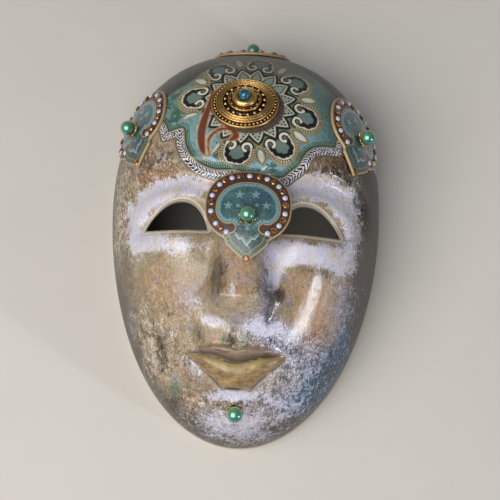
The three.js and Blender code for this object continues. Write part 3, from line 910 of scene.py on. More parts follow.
# Painted shade: the face darkens toward the back edge, and more widely on the right, where less light
# falls; the varnish is also worn thinner there.
verge = step(mix(0.84, 0.6, (x / HALF_WIDTH + 1) / 2), 1.02, reach(x, y))
up_lip, down_lip = lip_reach(np.abs(x), y)
in_mouth = step(MOUTH_HALF + 0.5, MOUTH_HALF - 2, np.abs(x))
upper_lip = step(1.25, 0.85, up_lip) * (up_lip > -0.05) * in_mouth
lower_lip = step(1.08, 0.95, down_lip) * (down_lip > -0.05) * in_mouth
eye_line = np.vstack([outline, outline[:1]])
eye_far = np.minimum(*[to_line(points[:, :2] * [side, 1], eye_line)[0] for side in (1, -1)])
rim_turn = np.arctan2(x / HALF_WIDTH, y / HALF_LENGTH)
print("patches:", sum(map(len, PATCHES.values())))

# %% [markdown]
# ## The painted face
# The maker laid gesso over the paper, champagne leaf over most of that, rubbed it through to the
# white at the brows and under the nose, stained it with umber, green and blue, and varnished it.
# So the finish is built in the same order: leaf, gesso, stains, print, gold lines and a clear coat, with
# shade painted into the leaf and the print.

# %% Leaf, gesso and stains
def patchy(strength, mottle, spread=1.6, soft=0.05):
    """Turns a smooth strength into ragged patches."""
    value = strength + (mottle - 0.5) * spread
    return ramp(0.5 - soft, 0.5 + soft, value)


def graded(value, stops):
    """A colour from dark to light: the stops are (value, red, green, blue)."""
    colour = rgb(*stops[0][1:])
    for (low, *_), (high, *after) in zip(stops, stops[1:]):
        colour = paint(colour, rgb(*after), ramp(low, high, value))
    return colour


WARM = [(0.0, 40, 32, 26), (0.22, 92, 76, 58), (0.42, 142, 124, 100), (0.56, 178, 162, 138),
        (0.74, 206, 195, 180), (0.95, 228, 221, 212)]
COOL = [(0.0, 36, 36, 44), (0.25, 84, 84, 98), (0.5, 144, 143, 164), (0.75, 196, 196, 222),
        (0.95, 222, 222, 244)]
COPPER = [(0.0, 54, 36, 26), (0.28, 118, 82, 54), (0.5, 180, 138, 100), (0.75, 214, 178, 148),
          (0.95, 234, 216, 204)]
OLIVE = [(0.0, 34, 36, 30), (0.25, 84, 82, 62), (0.5, 146, 142, 112), (0.75, 196, 194, 170),
         (0.95, 216, 214, 206)]
GREEN = [(0.0, 22, 32, 26), (0.3, 54, 76, 58), (0.6, 112, 134, 110), (0.95, 204, 210, 194)]
BLUE = [(0.0, 22, 26, 44), (0.3, 36, 84, 122), (0.6, 92, 146, 188), (0.95, 204, 212, 228)]


def leafed_skin():
    """Colour of the face without its print, and its raggedness for the gloss."""
    where = place_in_mm()
    cloud = noise(where, 24, 6, 0.6, 0.6)
    mottle = noise(where, 6, 8, 0.74, 0.3)
    grain = noise(where, 1.1, 4, 0.8, 1.2)
    fleck = noise(place_in_mm((-1.3, 0.7, 1.1)), 2.6, 6, 0.78, 2.2)
    brush = noise(place_in_mm((1.0, 0.22, 0.4)), 1.4, 5, 0.78, 0.6)
    ragged = cloud * 0.2 + mottle * 0.3 + fleck * 0.25 + brush * 0.25
    # edge: painted shade toward the back edge, where the varnish also wears thin
    edge = attribute("verge")
    worn = most(attribute("worn") + (cloud - 0.5) * 0.9, 0.0)
    change = (grain - 0.5) * 0.4 + (fleck - 0.5) * 0.6 + (mottle - 0.5) * 0.5
    change = change + (brush - 0.5) * (edge * 1.6 + 0.3)
    change = change * (worn * 3.2 + 0.9)
    flakes = ramp(0.54, 0.58, fleck) - ramp(0.55, 0.60, brush)
    change = change + flakes * (worn * 0.28 + 0.04)
    torn = cloud * 0.35 + mottle * 0.45 + fleck * 0.2
    torn = torn + (fleck - 0.5) * 0.35
    gesso = ramp(0.36, 0.62, attribute("gesso") + (torn - 0.5) * 3.0)
    umber = patchy(attribute("umber"), ragged * 0.5 + brush * 0.5, 3.2, 0.2)
    value = 0.49 + (cloud - 0.5) * 0.4 + change
    value = value + gesso * (0.33 - change * 0.35)
    # Painted shade lowers the value toward the back edge and under the shade patches; the umber does too,
    # partly as painted shade.
    value = value - umber * 0.34 - edge * 0.44 - attribute("dim") * 0.3
    peach = patchy(attribute("peach"), ragged, 2.4, 0.5)
    cool = most(patchy(attribute("cool"), ragged, 2.4, 0.4), gesso * ramp(0.34, 0.56, mottle))
    olive = ramp(0.48, 0.62, noise(place_in_mm((1, 1, -1)), 15, 5, 0.65))
    blush = ramp(0.54, 0.66, noise(place_in_mm((-1, 1, 1)), 13, 5, 0.65)) * 0.6
    bloom = ramp(0.55, 0.68, noise(place_in_mm((1, -1, 1)), 10, 6, 0.7)) * 0.6
    peel = ramp(0.54, 0.60, noise(where, 3.6, 6, 0.7, 2.5)) * ramp(0.44, 0.56, cloud) * gesso
    veins = under(abs(noise(where, 9, 6, 0.62, 1.2) - 0.5), 0.004, 0.006) * ramp(0.48, 0.56, mottle)
    grey = graded(value, COOL)
    colour = coats(
        graded(value, WARM),
        (graded(value, OLIVE), olive * 0.8),
        (graded(value, COPPER), most(peach * 0.85, blush)),
        (grey, bloom),
        (grey, cool * 0.9),
        (graded(value, GREEN), patchy(attribute("malachite"), ragged, 2.8, 0.3) * 0.8),
        (graded(value, BLUE), patchy(attribute("azurite"), ragged, 2.8, 0.4) * 0.8),
        (paint(rgb(196, 178, 146), rgb(140, 112, 80), grain), peel * 0.75),
        (70, 54, 40, veins * 0.75),
        (54, 42, 34, ramp(0.70, 0.74, noise(where, 1.6, 2, 0.5)) * 0.8),
    )
    return colour, ragged


def lips_over(colour):
    """Olive gold on the full lower lip, a thin dark wash on the upper one."""
    wash = noise(place_in_mm(), 7, 5, 0.65, 0.4)
    streak = noise(place_in_mm((0.3, 1.1, 1)), 1.8, 5, 0.75)
    above, below, mouth = (attribute(name) for name in ("above_parting", "below_parting", "mouth"))
    gold = paint(rgb(178, 150, 104), rgb(96, 76, 54), ramp(0.38, 0.62, wash * 0.5 + streak * 0.5))
    gold = coats(gold, (172, 158, 104, under(below, 0.3, 0.2) * 0.6))
    shade = paint(rgb(140, 118, 100), rgb(62, 48, 42), under(above, 0.35, 0.3))
    shade = coats(shade, (64, 50, 42, ramp(0.50, 0.60, streak) * 0.7))
    parting = between(above, -0.14, 0.1, 0.06) * mouth
    return coats(
        colour,
        (gold, attribute("lower_lip")),
        (shade, attribute("upper_lip") * 0.9),
        (40, 30, 26, parting * ramp(0.35, 0.6, streak) * 0.9),
        (66, 50, 36, between(below, 0.93, 1.03, 0.03) * ramp(0.4, 0.55, wash) * mouth),
    )


# %% The printed field
BOSS_P, BOSS_Q = -2.0, 9.0  # middle of the boss on the chart
EIGHTH, FIRST = 45, 80  # degrees from scroll to scroll, and where the first one stands
LOBE_R = 34.2  # from the middle of the boss to that of a scroll
CURL_X, CURL_Y = 4.8, 29.2  # middle of the curl beside it


def scroll_ring(colour, p, q):
    """Eight scrolls round the boss, mirrored within each eighth, and the points between them."""
    dx, dy = p - BOSS_P, q - BOSS_Q
    r, turn = length_of(dx, dy), angle_of(dy, dx) * (180 / math.pi)

    def off(apart):
        """Angle to the nearest of the axes that stand this many degrees apart."""
        nearest_axis = worked("FLOOR", (turn - (FIRST - apart / 2)) / apart) * apart + FIRST
        return abs(turn - nearest_axis) * (math.pi / 180)

    a = off(EIGHTH)
    x, y = r * sine(a), r * cosine(a)
    free = ramp(21.5, 23.5, abs(turn + 145))  # no scroll behind the tail
    ground, smudge = noise(place_in_mm(), 3, 3), noise(place_in_mm(), 1.6, 4, 0.7)

    bud = 2.3 * (1 - abs((r - 35.5) / 5.4) ** 2.2) + (smudge - 0.5) * 1.6
    bud_far = r * sine(math.pi / 8 - a) - bud
    lobe = length_of(x, most(y - LOBE_R, 0.0))
    halo = most(least(lobe - 10.2, bud_far - 0.9), 28.0 - r)
    around = angle_of(y - LOBE_R, x)
    ticks = ramp(0.35, 0.65, sine(around * 36.0) * 0.5 + 0.5 + (smudge - 0.5) * 0.8)
    legs = ramp(28.6, 29.2, y) * free
    scallop = 6.4 + 0.7 * abs(sine(around * 4.5))
    eye = 3.5 + 0.8 * abs(sine(around * 3.0 + 0.6))

    curl, curl_turn = length_of(x - CURL_X, y - CURL_Y), angle_of(y - CURL_Y, x - CURL_X)
    below = under(y, CURL_Y, 0.3)
    closed_part = (1.0 - between(curl_turn, -0.1, 1.9, 0.1)) * free
    outer = free * ramp(30.5, 31.5, r)
    fold = ramp(-0.2, -1.2, bud_far + (smudge - 0.5) * 1.5)
    tooth = r * sine(off(EIGHTH / 2)) - 4.2 * (1 - most((r - BOSS_RADIUS) / 7.3, 0.0) ** 1.6)
    dots = ramp(0.4, 0.6, sine(r * 3.6) * 0.5 + 0.5)
    return coats(
        colour,
        (paint(rgb(134, 148, 134), rgb(90, 106, 96), ground), under(r, 29.5, 0.8) * 0.9),
        (70, 82, 70, under(halo, 0.75) * free * 0.7),
        (176, 160, 124, under(halo, 0.4) * free),
        (104, 104, 78, under(halo, -0.15) * free),
        (186, 174, 140, between(lobe, 8.1, 9.7) * ticks * legs),
        (46, 42, 36, between(lobe, 7.8, 8.15) * legs * 0.9),
        (216, 210, 190, between(lobe, 6.3, 7.85) * legs),
        (120, 108, 86, between(lobe, 6.9, 7.2) * ticks * legs * 0.8),
        (28, 24, 26, under(lobe - scallop, 0.0) * legs),
        (106, 130, 122, under(lobe - eye, 0.0, 0.25) * ramp(27.0, 28.5, y) * free),
        (104, 104, 78, under(curl, 5.0) * below * free),
        (28, 24, 26, between(curl, 3.2, 4.1) * below * free),
        (28, 24, 26, under(curl, 3.6) * (1.0 - below) * free * under(x, 5.0)),
        (88, 104, 88, under(curl, 2.2) * free),
        (36, 30, 30, between(curl, 1.2, 1.8) * free),
        (220, 214, 196, between(curl, 1.8, 3.2) * closed_part),
        (220, 214, 196, under(length_of(x - 4.1, y - 31.4), 0.9) * free),
        (74, 76, 62, under(bud_far, 0.35) * outer * 0.8),
        (paint(rgb(158, 160, 140), rgb(214, 214, 202), fold), under(bud_far, 0.0, 0.25) * outer),
        (28, 28, 28, between(tooth, 0.5, 2.2) * under(r, 28.4, 0.3)),
        (36, 38, 36, under(tooth, 0.3) * under(r, 27.2)),
        (212, 208, 190, under(tooth, 0.0) * under(r, 27.0)),
        (150, 160, 146, under(tooth, -0.75) * under(r, 26.2)),
        (20, 22, 22, between(tooth, -2.2, -1.0) * dots),
    )


def tail_and_crescent(colour):
    """The red-brown tail of the drop shape that the boss stands on, and its edge to the right."""
    fibre = noise(place_in_mm((1, 0.3, 1)), 1.5, 4, 0.6)
    red = paint(rgb(120, 66, 46), rgb(86, 50, 40), fibre)
    for far in (attribute("branch"), attribute("tail")):
        colour = coats(
            colour,
            (206, 196, 176, under(far, 1.5) * ramp(0.4, 0.6, fibre) * 0.5),
            (176, 118, 66, under(far, 0.35)),
            (red, under(far, -0.2)),
        )
    s, t, _ = attribute_parts("boss_place")
    wide = 3.4 * most(cosine(angle_of(t, s) + 0.6), 0.0) + 0.5
    brown = paint(rgb(78, 54, 44), rgb(52, 36, 32), fibre)
    return coats(colour, (brown, under(length_of(s, t) - BOSS_RADIUS - wide, 0.0, 0.5) * 0.9))


LACE_IN, LACE_OUT, CORD_OUT = 1.95, -2.65, -3.3  # edges of the lace band and of the cord below it
LEAF_MIDDLE = -0.3  # the leaves of the band stand on this line


def printed_field(colour):
    """Light teal ground, scrolls, sprigs, and the band along the lace edge."""
    where = place_in_mm()
    p, q, _ = attribute_parts("chart")
    bend_p, bend_q = noise(where, 7, 2), noise(place_in_mm((-1, 1, 1)), 7, 2)
    p, q = p + (bend_p - 0.5) * 1.6, q + (bend_q - 0.5) * 1.6
    worn = noise(where, 2.4, 6, 0.7)
    teal = coats(
        paint(rgb(106, 140, 134), rgb(140, 178, 188), ramp(20, -35, q)),
        (84, 114, 106, ramp(0.48, 0.66, worn) * 0.7),
        (52, 84, 68, patchy(attribute("sprigs"), noise(where, 2.2, 3, 0.6), 3.4, 0.06) * 0.85),
    )
    printed = tail_and_crescent(scroll_ring(teal, p, q))
    # Painted shade: the print darkens toward the top of the forehead and toward its right side.
    high = most(ramp(24, 52, q), ramp(34, 58, p)) * (worn * 0.7 + 0.5)
    printed = coats(printed, (30, 38, 34, high))

    lace, run = attribute("lace"), attribute("lace_run")
    beyond = noise(where, 3.2, 7, 0.75)
    grey = paint(rgb(58, 56, 46), rgb(22, 22, 20), ramp(0.36, 0.6, beyond))
    crest = attribute("crest") + (beyond - 0.5) * 9
    tick = ramp(0.30, 0.45, zigzag((run + lace * 0.35) / 1.35))
    leafy = paint(rgb(38, 56, 50), rgb(104, 136, 120), tick)
    leafy = coats(leafy, (40, 60, 54, between(lace, 2.7, 3.4)))
    printed = coats(
        paint(grey, printed, ramp(-1.4, 0.6, crest)),
        (62, 80, 68, between(crest, -0.4, 0.6) * 0.6),
        (58, 82, 74, between(lace, 5.3, 5.7)),
        (leafy, between(lace, 2.7, 5.0 + (worn - 0.5) * 1.5)),
        (178, 158, 116, between(lace, 1.9, 2.7)),
        (58, 44, 34, between(lace, 2.45, 2.65)),
    )

    jitter = (noise(where, 1.8, 3) - 0.5) * 3.2
    off_line = abs(lace - LEAF_MIDDLE)
    leaf = zigzag((run + off_line + jitter) / 2.1) - abs(off_line - 1.1) * 0.35
    white = paint(rgb(226, 224, 220), rgb(172, 176, 206), ramp(0.46, 0.62, worn))
    lace_colour = paint(rgb(24, 22, 30), white, ramp(0.40, 0.30, leaf))
    lace_colour = coats(lace_colour, (36, 34, 40, between(abs(lace + 0.35), 2.1, 2.3, 0.08)))
    return coats(
        colour,
        (printed, ramp(-0.2, 0.2, lace - 1.9)),
        (lace_colour, between(lace, LACE_OUT, LACE_IN)),
        (138, 112, 72, between(lace, CORD_OUT, LACE_OUT)),
        (70, 54, 42, between(lace, CORD_OUT - 0.2, CORD_OUT + 0.05)),
    )


# %% Gold lines and varnish
STRIP_TOP, LINE_TOP = 5.4, 8.5  # heights of the ticked strip and of the dark line over it


def gold_lines(colour):
    """The line round each opening and the ticked strip along the back edge, with a painted shadow over the
    strip.
    """
    eye = attribute("eye_far")
    worn = noise(place_in_mm(), 2.2, 4, 0.6)
    high, turn = attribute("rim_height"), attribute("rim_turn")
    strip = paint(rgb(122, 104, 76), rgb(216, 200, 166), ramp(0.3, 0.5, zigzag(turn * 80)))
    return coats(
        colour,
        (216, 208, 192, under(eye, 2.2, 0.2) * 0.7),
        (122, 92, 62, between(eye, 2.0, 2.4, 0.2) * ramp(0.35, 0.55, worn) * 0.6),
        (116, 88, 60, between(eye, 0.4, 0.8, 0.15) * ramp(0.32, 0.5, worn) * 0.8),
        # painted shadow: a soft dark band along the top of the ticked strip
        (64, 50, 44, between(high, STRIP_TOP - 0.2, LINE_TOP, 1.2) * 0.9),
        (strip, under(high, STRIP_TOP, 0.2)),
    )


def painted_face():
    """The finish of the front."""
    material, shader = new_material("leaf_and_print")
    colour, ragged = leafed_skin()
    set_inputs(
        shader,
        Base_Color=gold_lines(printed_field(lips_over(colour))),
        Roughness=ramp(0.35, 0.7, ragged) * 0.3 + 0.3,
        Specular_IOR_Level=0.3,
        Coat_Weight=0.65 - attribute("verge") * 0.55,
        Coat_Roughness=0.12,
    )
    where = place_in_mm()
    relief = noise(where, 5, 5, 0.6) * 0.5 + noise(where, 1.8, 4, 0.65) * 0.7
    raise_surface(shader, relief, 0.5, 0.8)
    raise_surface(shader, relief, 0.5, 0.36, "Coat Normal")
    return material


PAINT = painted_face()
print("nodes in the face's finish:", len(PAINT.node_tree.nodes))

# %% The bare paper inside
SHEET, BENT_BY = 26, 14  # width of a torn sheet, and how far its edges wander


def bare_paper():
    """Torn sheets of grey-brown paper, glued over each other, with fibres and glue stains."""
    material, shader = new_material("bare_paper")
    where = place_in_mm()
    bent = node("ShaderNodeVectorMath", operation="MULTIPLY_ADD")
    for socket, value in zip(
        bent.inputs, (node("ShaderNodeTexNoise").outputs["Color"], [BENT_BY] * 3, where)
    ):
        feed(socket, value)
    cells = node("ShaderNodeTexVoronoi", feature="F1")
    set_inputs(cells, Vector=bent.outputs[0], Scale=1 / SHEET)
    sheet = node("ShaderNodeSeparateXYZ")
    feed(sheet.inputs[0], cells.outputs["Color"])
    tint = Ink(sheet.outputs[0])
    fibre = noise(place_in_mm((1, 0.3, 1)), 1.6, 6, 0.7)
    cloud = noise(where, 18, 5, 0.6)
    stain = tint * 0.6 + ramp(0.4, 0.6, cloud) * 0.4
    colour = coats(
        paint(rgb(186, 170, 140), rgb(150, 134, 106), stain),
        (206, 196, 172, ramp(0.54, 0.64, fibre) * 0.5),
        (110, 92, 68, ramp(0.46, 0.36, fibre) * 0.45),
    )
    set_inputs(shader, Base_Color=colour, Roughness=0.85)
    raise_surface(shader, tint * 0.5 + fibre * 0.5, 0.25, 0.7)
    return material


BARE = bare_paper()

# %% The shell becomes a piece
shell = make_piece("painted_face", points, quads, [PAINT, BARE], "shell", ["mask_shell"])
shell.data.polygons.foreach_set("material_index", inner.astype(np.int32))
for name, values in {
    **{name: tone(patches) for name, patches in PATCHES.items()},
    "sprigs": tone(SPRIGS, *chart.T), "upper_lip": upper_lip, "lower_lip": lower_lip,
    "above_parting": up_lip, "below_parting": down_lip, "mouth": in_mouth, "eye_far": eye_far,
    "lace": lace_far, "lace_run": lace_run, "crest": crest_far,
    "tail": stroke_far(TAIL_LINE, TAIL_HALF), "branch": stroke_far(BRANCH_LINE, BRANCH_HALF),
    "rim_height": points[:, 2], "rim_turn": rim_turn, "verge": verge, "boss_place": boss_place,
    "chart": np.column_stack([chart, 0 * x]),
}.items():
    set_values(shell, name, values)
bake_map = shell.data.uv_layers.new(name="OFBake")
bake_map.data.foreach_set("uv", corners_uv.astype(np.float32).ravel())
tell(shell)


# %% [markdown]
# ## Turned and scattered forms
# Much of the ornament is turned: a profile carried round an axis. A gold bead or a twisted wire
# would be soldered on by the jeweller; here one small template is copied to many places in one
# array, which keeps each of them a real form with few faces.

# %% Closed surfaces from a grid
def compact(grid):
    """The values of a grid whose first and last row are each one point."""
    return np.concatenate([grid[:1, 0], grid[1:-1].reshape(-1, *grid.shape[2:]), grid[-1:, 0]])


def closed(grid):
    """Points and quads of a grid whose columns run round and whose ends close in a point."""
    rows, columns = grid.shape[:2]
    ids = np.arange(1 - columns, (rows - 1) * columns + 1).reshape(rows, columns)
    ids[0], ids[-1] = 0, (rows - 2) * columns + 1
    return compact(grid), quads_of(np.column_stack([ids, ids[:, 0]]))


def joined(parts):
    """Several sets of points and quads as one."""
    offsets = np.cumsum([0] + [len(p) for p, _ in parts[:-1]])
    return (
        np.concatenate([p for p, _ in parts]),
        np.concatenate([q + o for (_, q), o in zip(parts, offsets)]),
    )


def turned(profile, sides, over):
    """A profile of (radius, lift) carried round an axis onto over(s, t, lift)."""
    r, lift = (np.array(values)[:, None] for values in zip(*profile))
    a = np.linspace(0, 2 * math.pi, sides, endpoint=False)
    return closed(over(r * np.cos(a), r * np.sin(a), lift + 0 * a))


def ball(radius, rings):
    """Profile of a ball that stands on height 0."""
    a = np.linspace(0, math.pi, rings + 1)
    return [(radius * math.sin(b), radius - radius * math.cos(b)) for b in a]


def copies(template, middles, axes):
    """A template of points in (s, t, n) repeated at each middle with its own axes."""
    shape, faces = template
    placed = middles[:, None] + np.einsum("pk,mkj->mpj", shape, axes)
    return joined([(one, faces) for one in placed])


def flat(s, t, lift):
    """The plain space of a template."""
    return np.stack(np.broadcast_arrays(s, t, lift), -1)


def over_boss(s, t, lift):
    """The boss is a round a little lower than wide, draped on the forehead."""
    return drape(boss, s, BOSS_OVAL * t, lift)


def axes_at(over, s, t, lift):
    """Middles and axes of the places (s, t) of a surface."""
    e = 0.05
    c = over(s, t, lift)
    across = unit(over(s + e, t, lift) - c)
    n = unit(np.cross(across, over(s, t + e, lift) - c))
    return c, np.stack([across, np.cross(n, across), n], 1)


# %% The gilt boss
BOSS_PROFILE = [
    (0, 0.3), (19.0, 0.3), (19.4, 0.5), (19.5, 1.0), (19.3, 1.5), (18.7, 1.8), (18.2, 1.5),
    (17.9, 1.1), (16.9, 1.1), (16.6, 1.6), (16.5, 2.6), (16.2, 2.9), (15.6, 2.9), (15.3, 2.75),
    (14.6, 3.1), (13.5, 3.3), (13.0, 3.2), (12.8, 2.6), (12.6, 2.2), (9.8, 2.4), (9.6, 3.0),
    (9.4, 4.4), (9.0, 4.7), (8.2, 4.75), (7.6, 4.5), (7.3, 4.6), (7.1, 5.2), (6.8, 6.2),
    (6.3, 7.0), (5.6, 7.45), (4.6, 7.55), (4.0, 7.3), (3.6, 6.8), (0, 6.8),
]


def beads(radius, count, size, lift, turn=0.0):
    """A ring of gold grains half sunk in the boss."""
    a = np.arange(count) * 2 * math.pi / count + turn
    middles, axes = axes_at(over_boss, radius * np.cos(a), radius * np.sin(a), np.full(count, lift))
    return copies(turned(ball(size, 6), 8, flat), middles - size * axes[:, 2], axes)


def wire(radius, size, lift, twists):
    """A ring of two twisted strands: the section is a lens that turns as it goes round."""
    a = np.linspace(0, 2 * math.pi, max(4 * twists, 160), endpoint=False)[:, None]
    b = np.linspace(0, 2 * math.pi, 8, endpoint=False)
    swell = size * (1 - 0.4 * np.cos(2 * (b - a * twists / 2)))
    r = radius + swell * np.cos(b)
    grid = over_boss(r * np.cos(a), r * np.sin(a), lift + swell * np.sin(b))
    ids = np.arange(grid[..., 0].size).reshape(grid.shape[:2])
    ids = np.pad(ids, ((0, 1), (0, 1)), mode="wrap")
    return grid.reshape(-1, 3), quads_of(ids, True)


boss_parts = [turned(BOSS_PROFILE, 128, over_boss)]
boss_parts += [wire(r, size, lift, n) for r, size, lift, n in [
    (19.0, 0.42, 1.75, 72), (16.2, 0.42, 2.95, 56), (15.35, 0.26, 3.05, 0), (14.6, 0.44, 3.25, 50),
    (13.8, 0.26, 3.45, 0), (13.0, 0.44, 3.4, 44), (9.2, 0.36, 4.9, 34), (6.9, 0.3, 6.2, 0),
]]
boss_parts += [beads(17.4, 46, 0.72, 1.75), beads(11.25, 17, 1.0, 3.3, 0.1), beads(8.2, 12, 0.5, 5.0)]

# Crest of the relief at each radius; what lies under it keeps brown patina, and painted shade where it
# lies deepest.
CREST_LINE = [(0, 7.5), (5.6, 7.5), (7, 6.2), (9, 5.2), (11.2, 4.2), (13, 3.8), (16.3, 3.3),
              (17.4, 2.4), (19, 2.1), (19.5, 1.4)]


def under_crest(place, spots_on_it):
    """How far each point of the boss lies under the crest of the relief."""
    c, across, ahead, n = place
    s, t = (spots_on_it - c) @ across, (spots_on_it - c) @ ahead
    lift = (spots_on_it - drape(place, s, t, 0 * s)) @ n
    return np.interp(np.hypot(s, t / BOSS_OVAL), *zip(*CREST_LINE)) - lift


def old_gold(name, crest=None):
    """Gilt brass: warm metal, brown patina in the hollows and painted shade deep in them, with small
    scratches.
    """
    material, shader = new_material(name)
    where = place_in_mm()
    grain, cloud = noise(where, 0.7, 4, 0.65), noise(where, 5, 4)
    metal = 1.0
    gold = paint(rgb(244, 212, 146), rgb(210, 168, 102), ramp(0.36, 0.64, cloud * 0.5 + grain * 0.5))
    if crest:
        deep = attribute(crest) + (grain - 0.5) * 0.7
        # brown patina in the hollows, then a near-black painted shade, less metallic, where they are
        # deepest
        gold = coats(gold, (120, 74, 30, ramp(0.35, 0.9, deep)), (46, 26, 16, ramp(0.8, 1.6, deep)))
        metal = 1.0 - ramp(0.8, 1.7, deep) * 0.75
    rough = ramp(0.3, 0.7, grain) * 0.25 + 0.2
    set_inputs(shader, Base_Color=gold, Metallic=metal, Roughness=rough)
    raise_surface(shader, grain, 0.1, 0.4)
    return material


boss_form = joined(boss_parts)
boss_gold = old_gold("old_gold", "under_crest")
boss_piece = make_piece("filigree_boss", *boss_form, [boss_gold], "gilt", ["forehead_boss"])
set_values(boss_piece, "under_crest", under_crest(boss, boss_form[0]))
tell(boss_piece)

# %% The blue cabochon
def domed(radius, foot, rise, steps, start=0.0, power=1.0):
    """Profile of a polished stone: a low upright foot and a dome over it."""
    bend = np.linspace(0, math.pi / 2, steps)[:-1]
    arch = [(radius * math.cos(b) ** power, foot + rise * math.sin(b)) for b in bend]
    return [(0, start), *arch, (0, foot + rise)]


def over_straight(place, lift0):
    """Upright space over a place, with its own axes."""
    c, across, ahead, n = place
    return lambda s, t, lift: (
        c + s[..., None] * across + t[..., None] * ahead + (lift + lift0)[..., None] * n
    )


def cabochon_blue():
    """Blue glass with a few dark veins, polished."""
    material, shader = new_material("blue_glass")
    cloud = noise(place_in_mm(), 2.2, 5, 0.6, 0.8)
    blue = paint(rgb(0, 122, 158), rgb(0, 72, 104), ramp(0.4, 0.6, cloud))
    blue = coats(blue, (8, 34, 50, under(abs(cloud - 0.5), 0.012, 0.01)))
    set_inputs(shader, Base_Color=blue, Roughness=0.12, Coat_Weight=1.0, Coat_Roughness=0.04)
    return material


stone_form = turned(domed(3.2, 0.8, 3.2, 14, power=0.8), 48, over_straight(boss, 7.6))
tell(make_piece("boss_cabochon", *stone_form, [cabochon_blue()], "turquoise", ["boss_stone"]))

# %% [markdown]
# ## The medallions
# Four cards of one shape carry a ring of stones and a pearl. The middle one is stiff and bridges
# the root of the nose. The other three are bent to the dome.

# %% Outline of a card
CARD = 1.6
CARD_HALF, CARD_HIGH, CARD_CENTRE, CARD_TIP = 24.0, 21.0, 5.0, 27.0
RING_POWER, RING_END, STUD_END = 2.3, 1.0, 1.05
STUD_BAND, STUD_COUNT = 3.4, 25
CARD_SIDES, CARD_RINGS = 300, 54
TAIL = [(12, -14.6), (11.4, -17), (8, -20.2), (0, -CARD_TIP)]


def on_ring(a, inset):
    """A place of the ring, an oval a little squarer than an ellipse, drawn in by inset."""
    swell = lambda v: np.sign(v) * np.abs(v) ** (2 / RING_POWER)
    return np.stack([
        (CARD_HALF - inset) * swell(np.cos(a)), CARD_CENTRE + (CARD_HIGH - inset) * swell(np.sin(a)),
    ], -1)


def card_outline():
    """The ring, and the pointed end with its two shoulders, in nearly even steps."""
    ring = on_ring(np.linspace(-RING_END, math.pi + RING_END, 241), 0)
    right = np.array(TAIL, float)
    return even_steps(np.concatenate([right[::-1], ring, right * [-1, 1]]), CARD_SIDES)


MIDDLE_X, MIDDLE_Y = 3.3, 4.5


def bow(s, t):
    """The middle card's bend."""
    return -0.0052 * s * s - 0.0075 * t * t - 0.13 * t


tries_s, tries_t = np.meshgrid(np.arange(-25, 25.1, 0.5), np.arange(-28, 27.1, 0.5))
in_ring = np.hypot(tries_s / CARD_HALF, (tries_t - CARD_CENTRE) / CARD_HIGH) < 1.02
in_point = (tries_t < -10) & (abs(tries_s) < 13) & (abs(tries_s) < (tries_t + CARD_TIP + 1) * 1.45)
clear = face(MIDDLE_X + tries_s, MIDDLE_Y + tries_t) - bow(tries_s, tries_t) + GAP
middle_height = clear[in_ring | in_point].max()


def over_middle(s, t, lift):
    """The stiff card over the root of the nose."""
    return np.stack(np.broadcast_arrays(
        MIDDLE_X + s, MIDDLE_Y + t, middle_height + bow(s, t) + lift), -1)


def over_dome(place):
    """A card bent to the dome at its place."""
    return lambda s, t, lift: drape(place, s, t, CARD_SEAT + lift + 0 * s)


BACKWARD = np.array([0, 1, -0.52])
SEATS = {
    "middle": over_middle,
    "left": over_dome(spot(-64.8, 62.5, 64, BACKWARD)),
    "right": over_dome(spot(64.8, 62.5, 64, BACKWARD)),
    "top": over_dome(spot(0, HALF_LENGTH, 31, np.array([0.0, 0, 1]))),
}
print("middle card stands", round(float(middle_height), 2), "mm up")

# %% A card as a plate with a rounded edge
def card_grid(shape):
    """(s, t, lift) from the middle of the underside over the edge to the middle of the face."""
    shares = [0, 0.25, 0.5, 0.75, 0.97, 0.992, 1, 1, 0.994, *np.linspace(0.984, 0, CARD_RINGS)]
    lifts = [0.45, 0.45, 0.45, 0.2, 0.0, 0.05, 0.3, 1.2, 1.5, *[CARD] * CARD_RINGS]
    st = np.array(shares)[:, None, None] * shape
    return st[..., 0], st[..., 1], np.array(lifts)[:, None] + 0 * st[..., 0]


# Right half of the brown ring's inner line, from the top down round the hook to the outline.
HOOK = [
    (0, 18.6), (6.5, 17.8), (12.7, 14.4), (16.6, 8.7), (17.5, 2.5), (16.3, -1.8), (13, -5.0),
    (10.4, -5.6), (8.4, -5.2), (6.7, -6.3), (6.2, -8.2), (7.0, -10.1), (9.2, -11.3), (12, -11.9),
    (15, -13.6),
]
CROWN = [(-6, -12), (-4.2, -14.3), (-3, -13.6), (0, -17.5), (3, -13.6), (4.2, -14.3), (6, -12)]


def line_side(places, line):
    """Distance to a line, less than 0 on its right."""
    far, along, side = to_line(places, line)
    return far * side, along


def card_print(st):
    """Each (s, t), and its distances from the outline, the ring's inner line and the crown."""
    rim_far, rim_run, _ = to_line(st, np.vstack([card_shape, card_shape[:1]]))
    hook = curve_through(HOOK, 0.3)
    whole = np.concatenate([hook[::-1], hook[1:] * [-1, 1]])
    brown, brown_run = line_side(st, whole)
    crown, _ = line_side(st, np.array(CROWN, float))
    return {"rim_far": rim_far, "rim_run": rim_run, "brown": brown, "brown_run": brown_run,
            "crown": crown, "card_place": np.column_stack([st, 0 * crown])}


card_shape = card_outline()
card_s, card_t, card_lift = card_grid(card_shape)
card_marks = card_print(compact(np.stack([card_s, card_t], -1)))
print("points of a card:", len(card_marks["crown"]))

# %% The print on a card
STARS = [(-5, 11.2, 2.1), (4, 11.4, 2.1), (-11, 4.6, 2.0), (9.9, 5.2, 2.0), (4.8, 5.2, 1.2),
         (-5.6, 4.6, 1.2), (0, -8.3, 0.9)]


def star(s, t, s0, t0, size):
    """A star of five points."""
    ds, dt = s - s0, t - t0
    return under(length_of(ds, dt) * (1.35 - 0.55 * cosine(worked("ARCTAN2", ds, dt) * 5.0)), size)


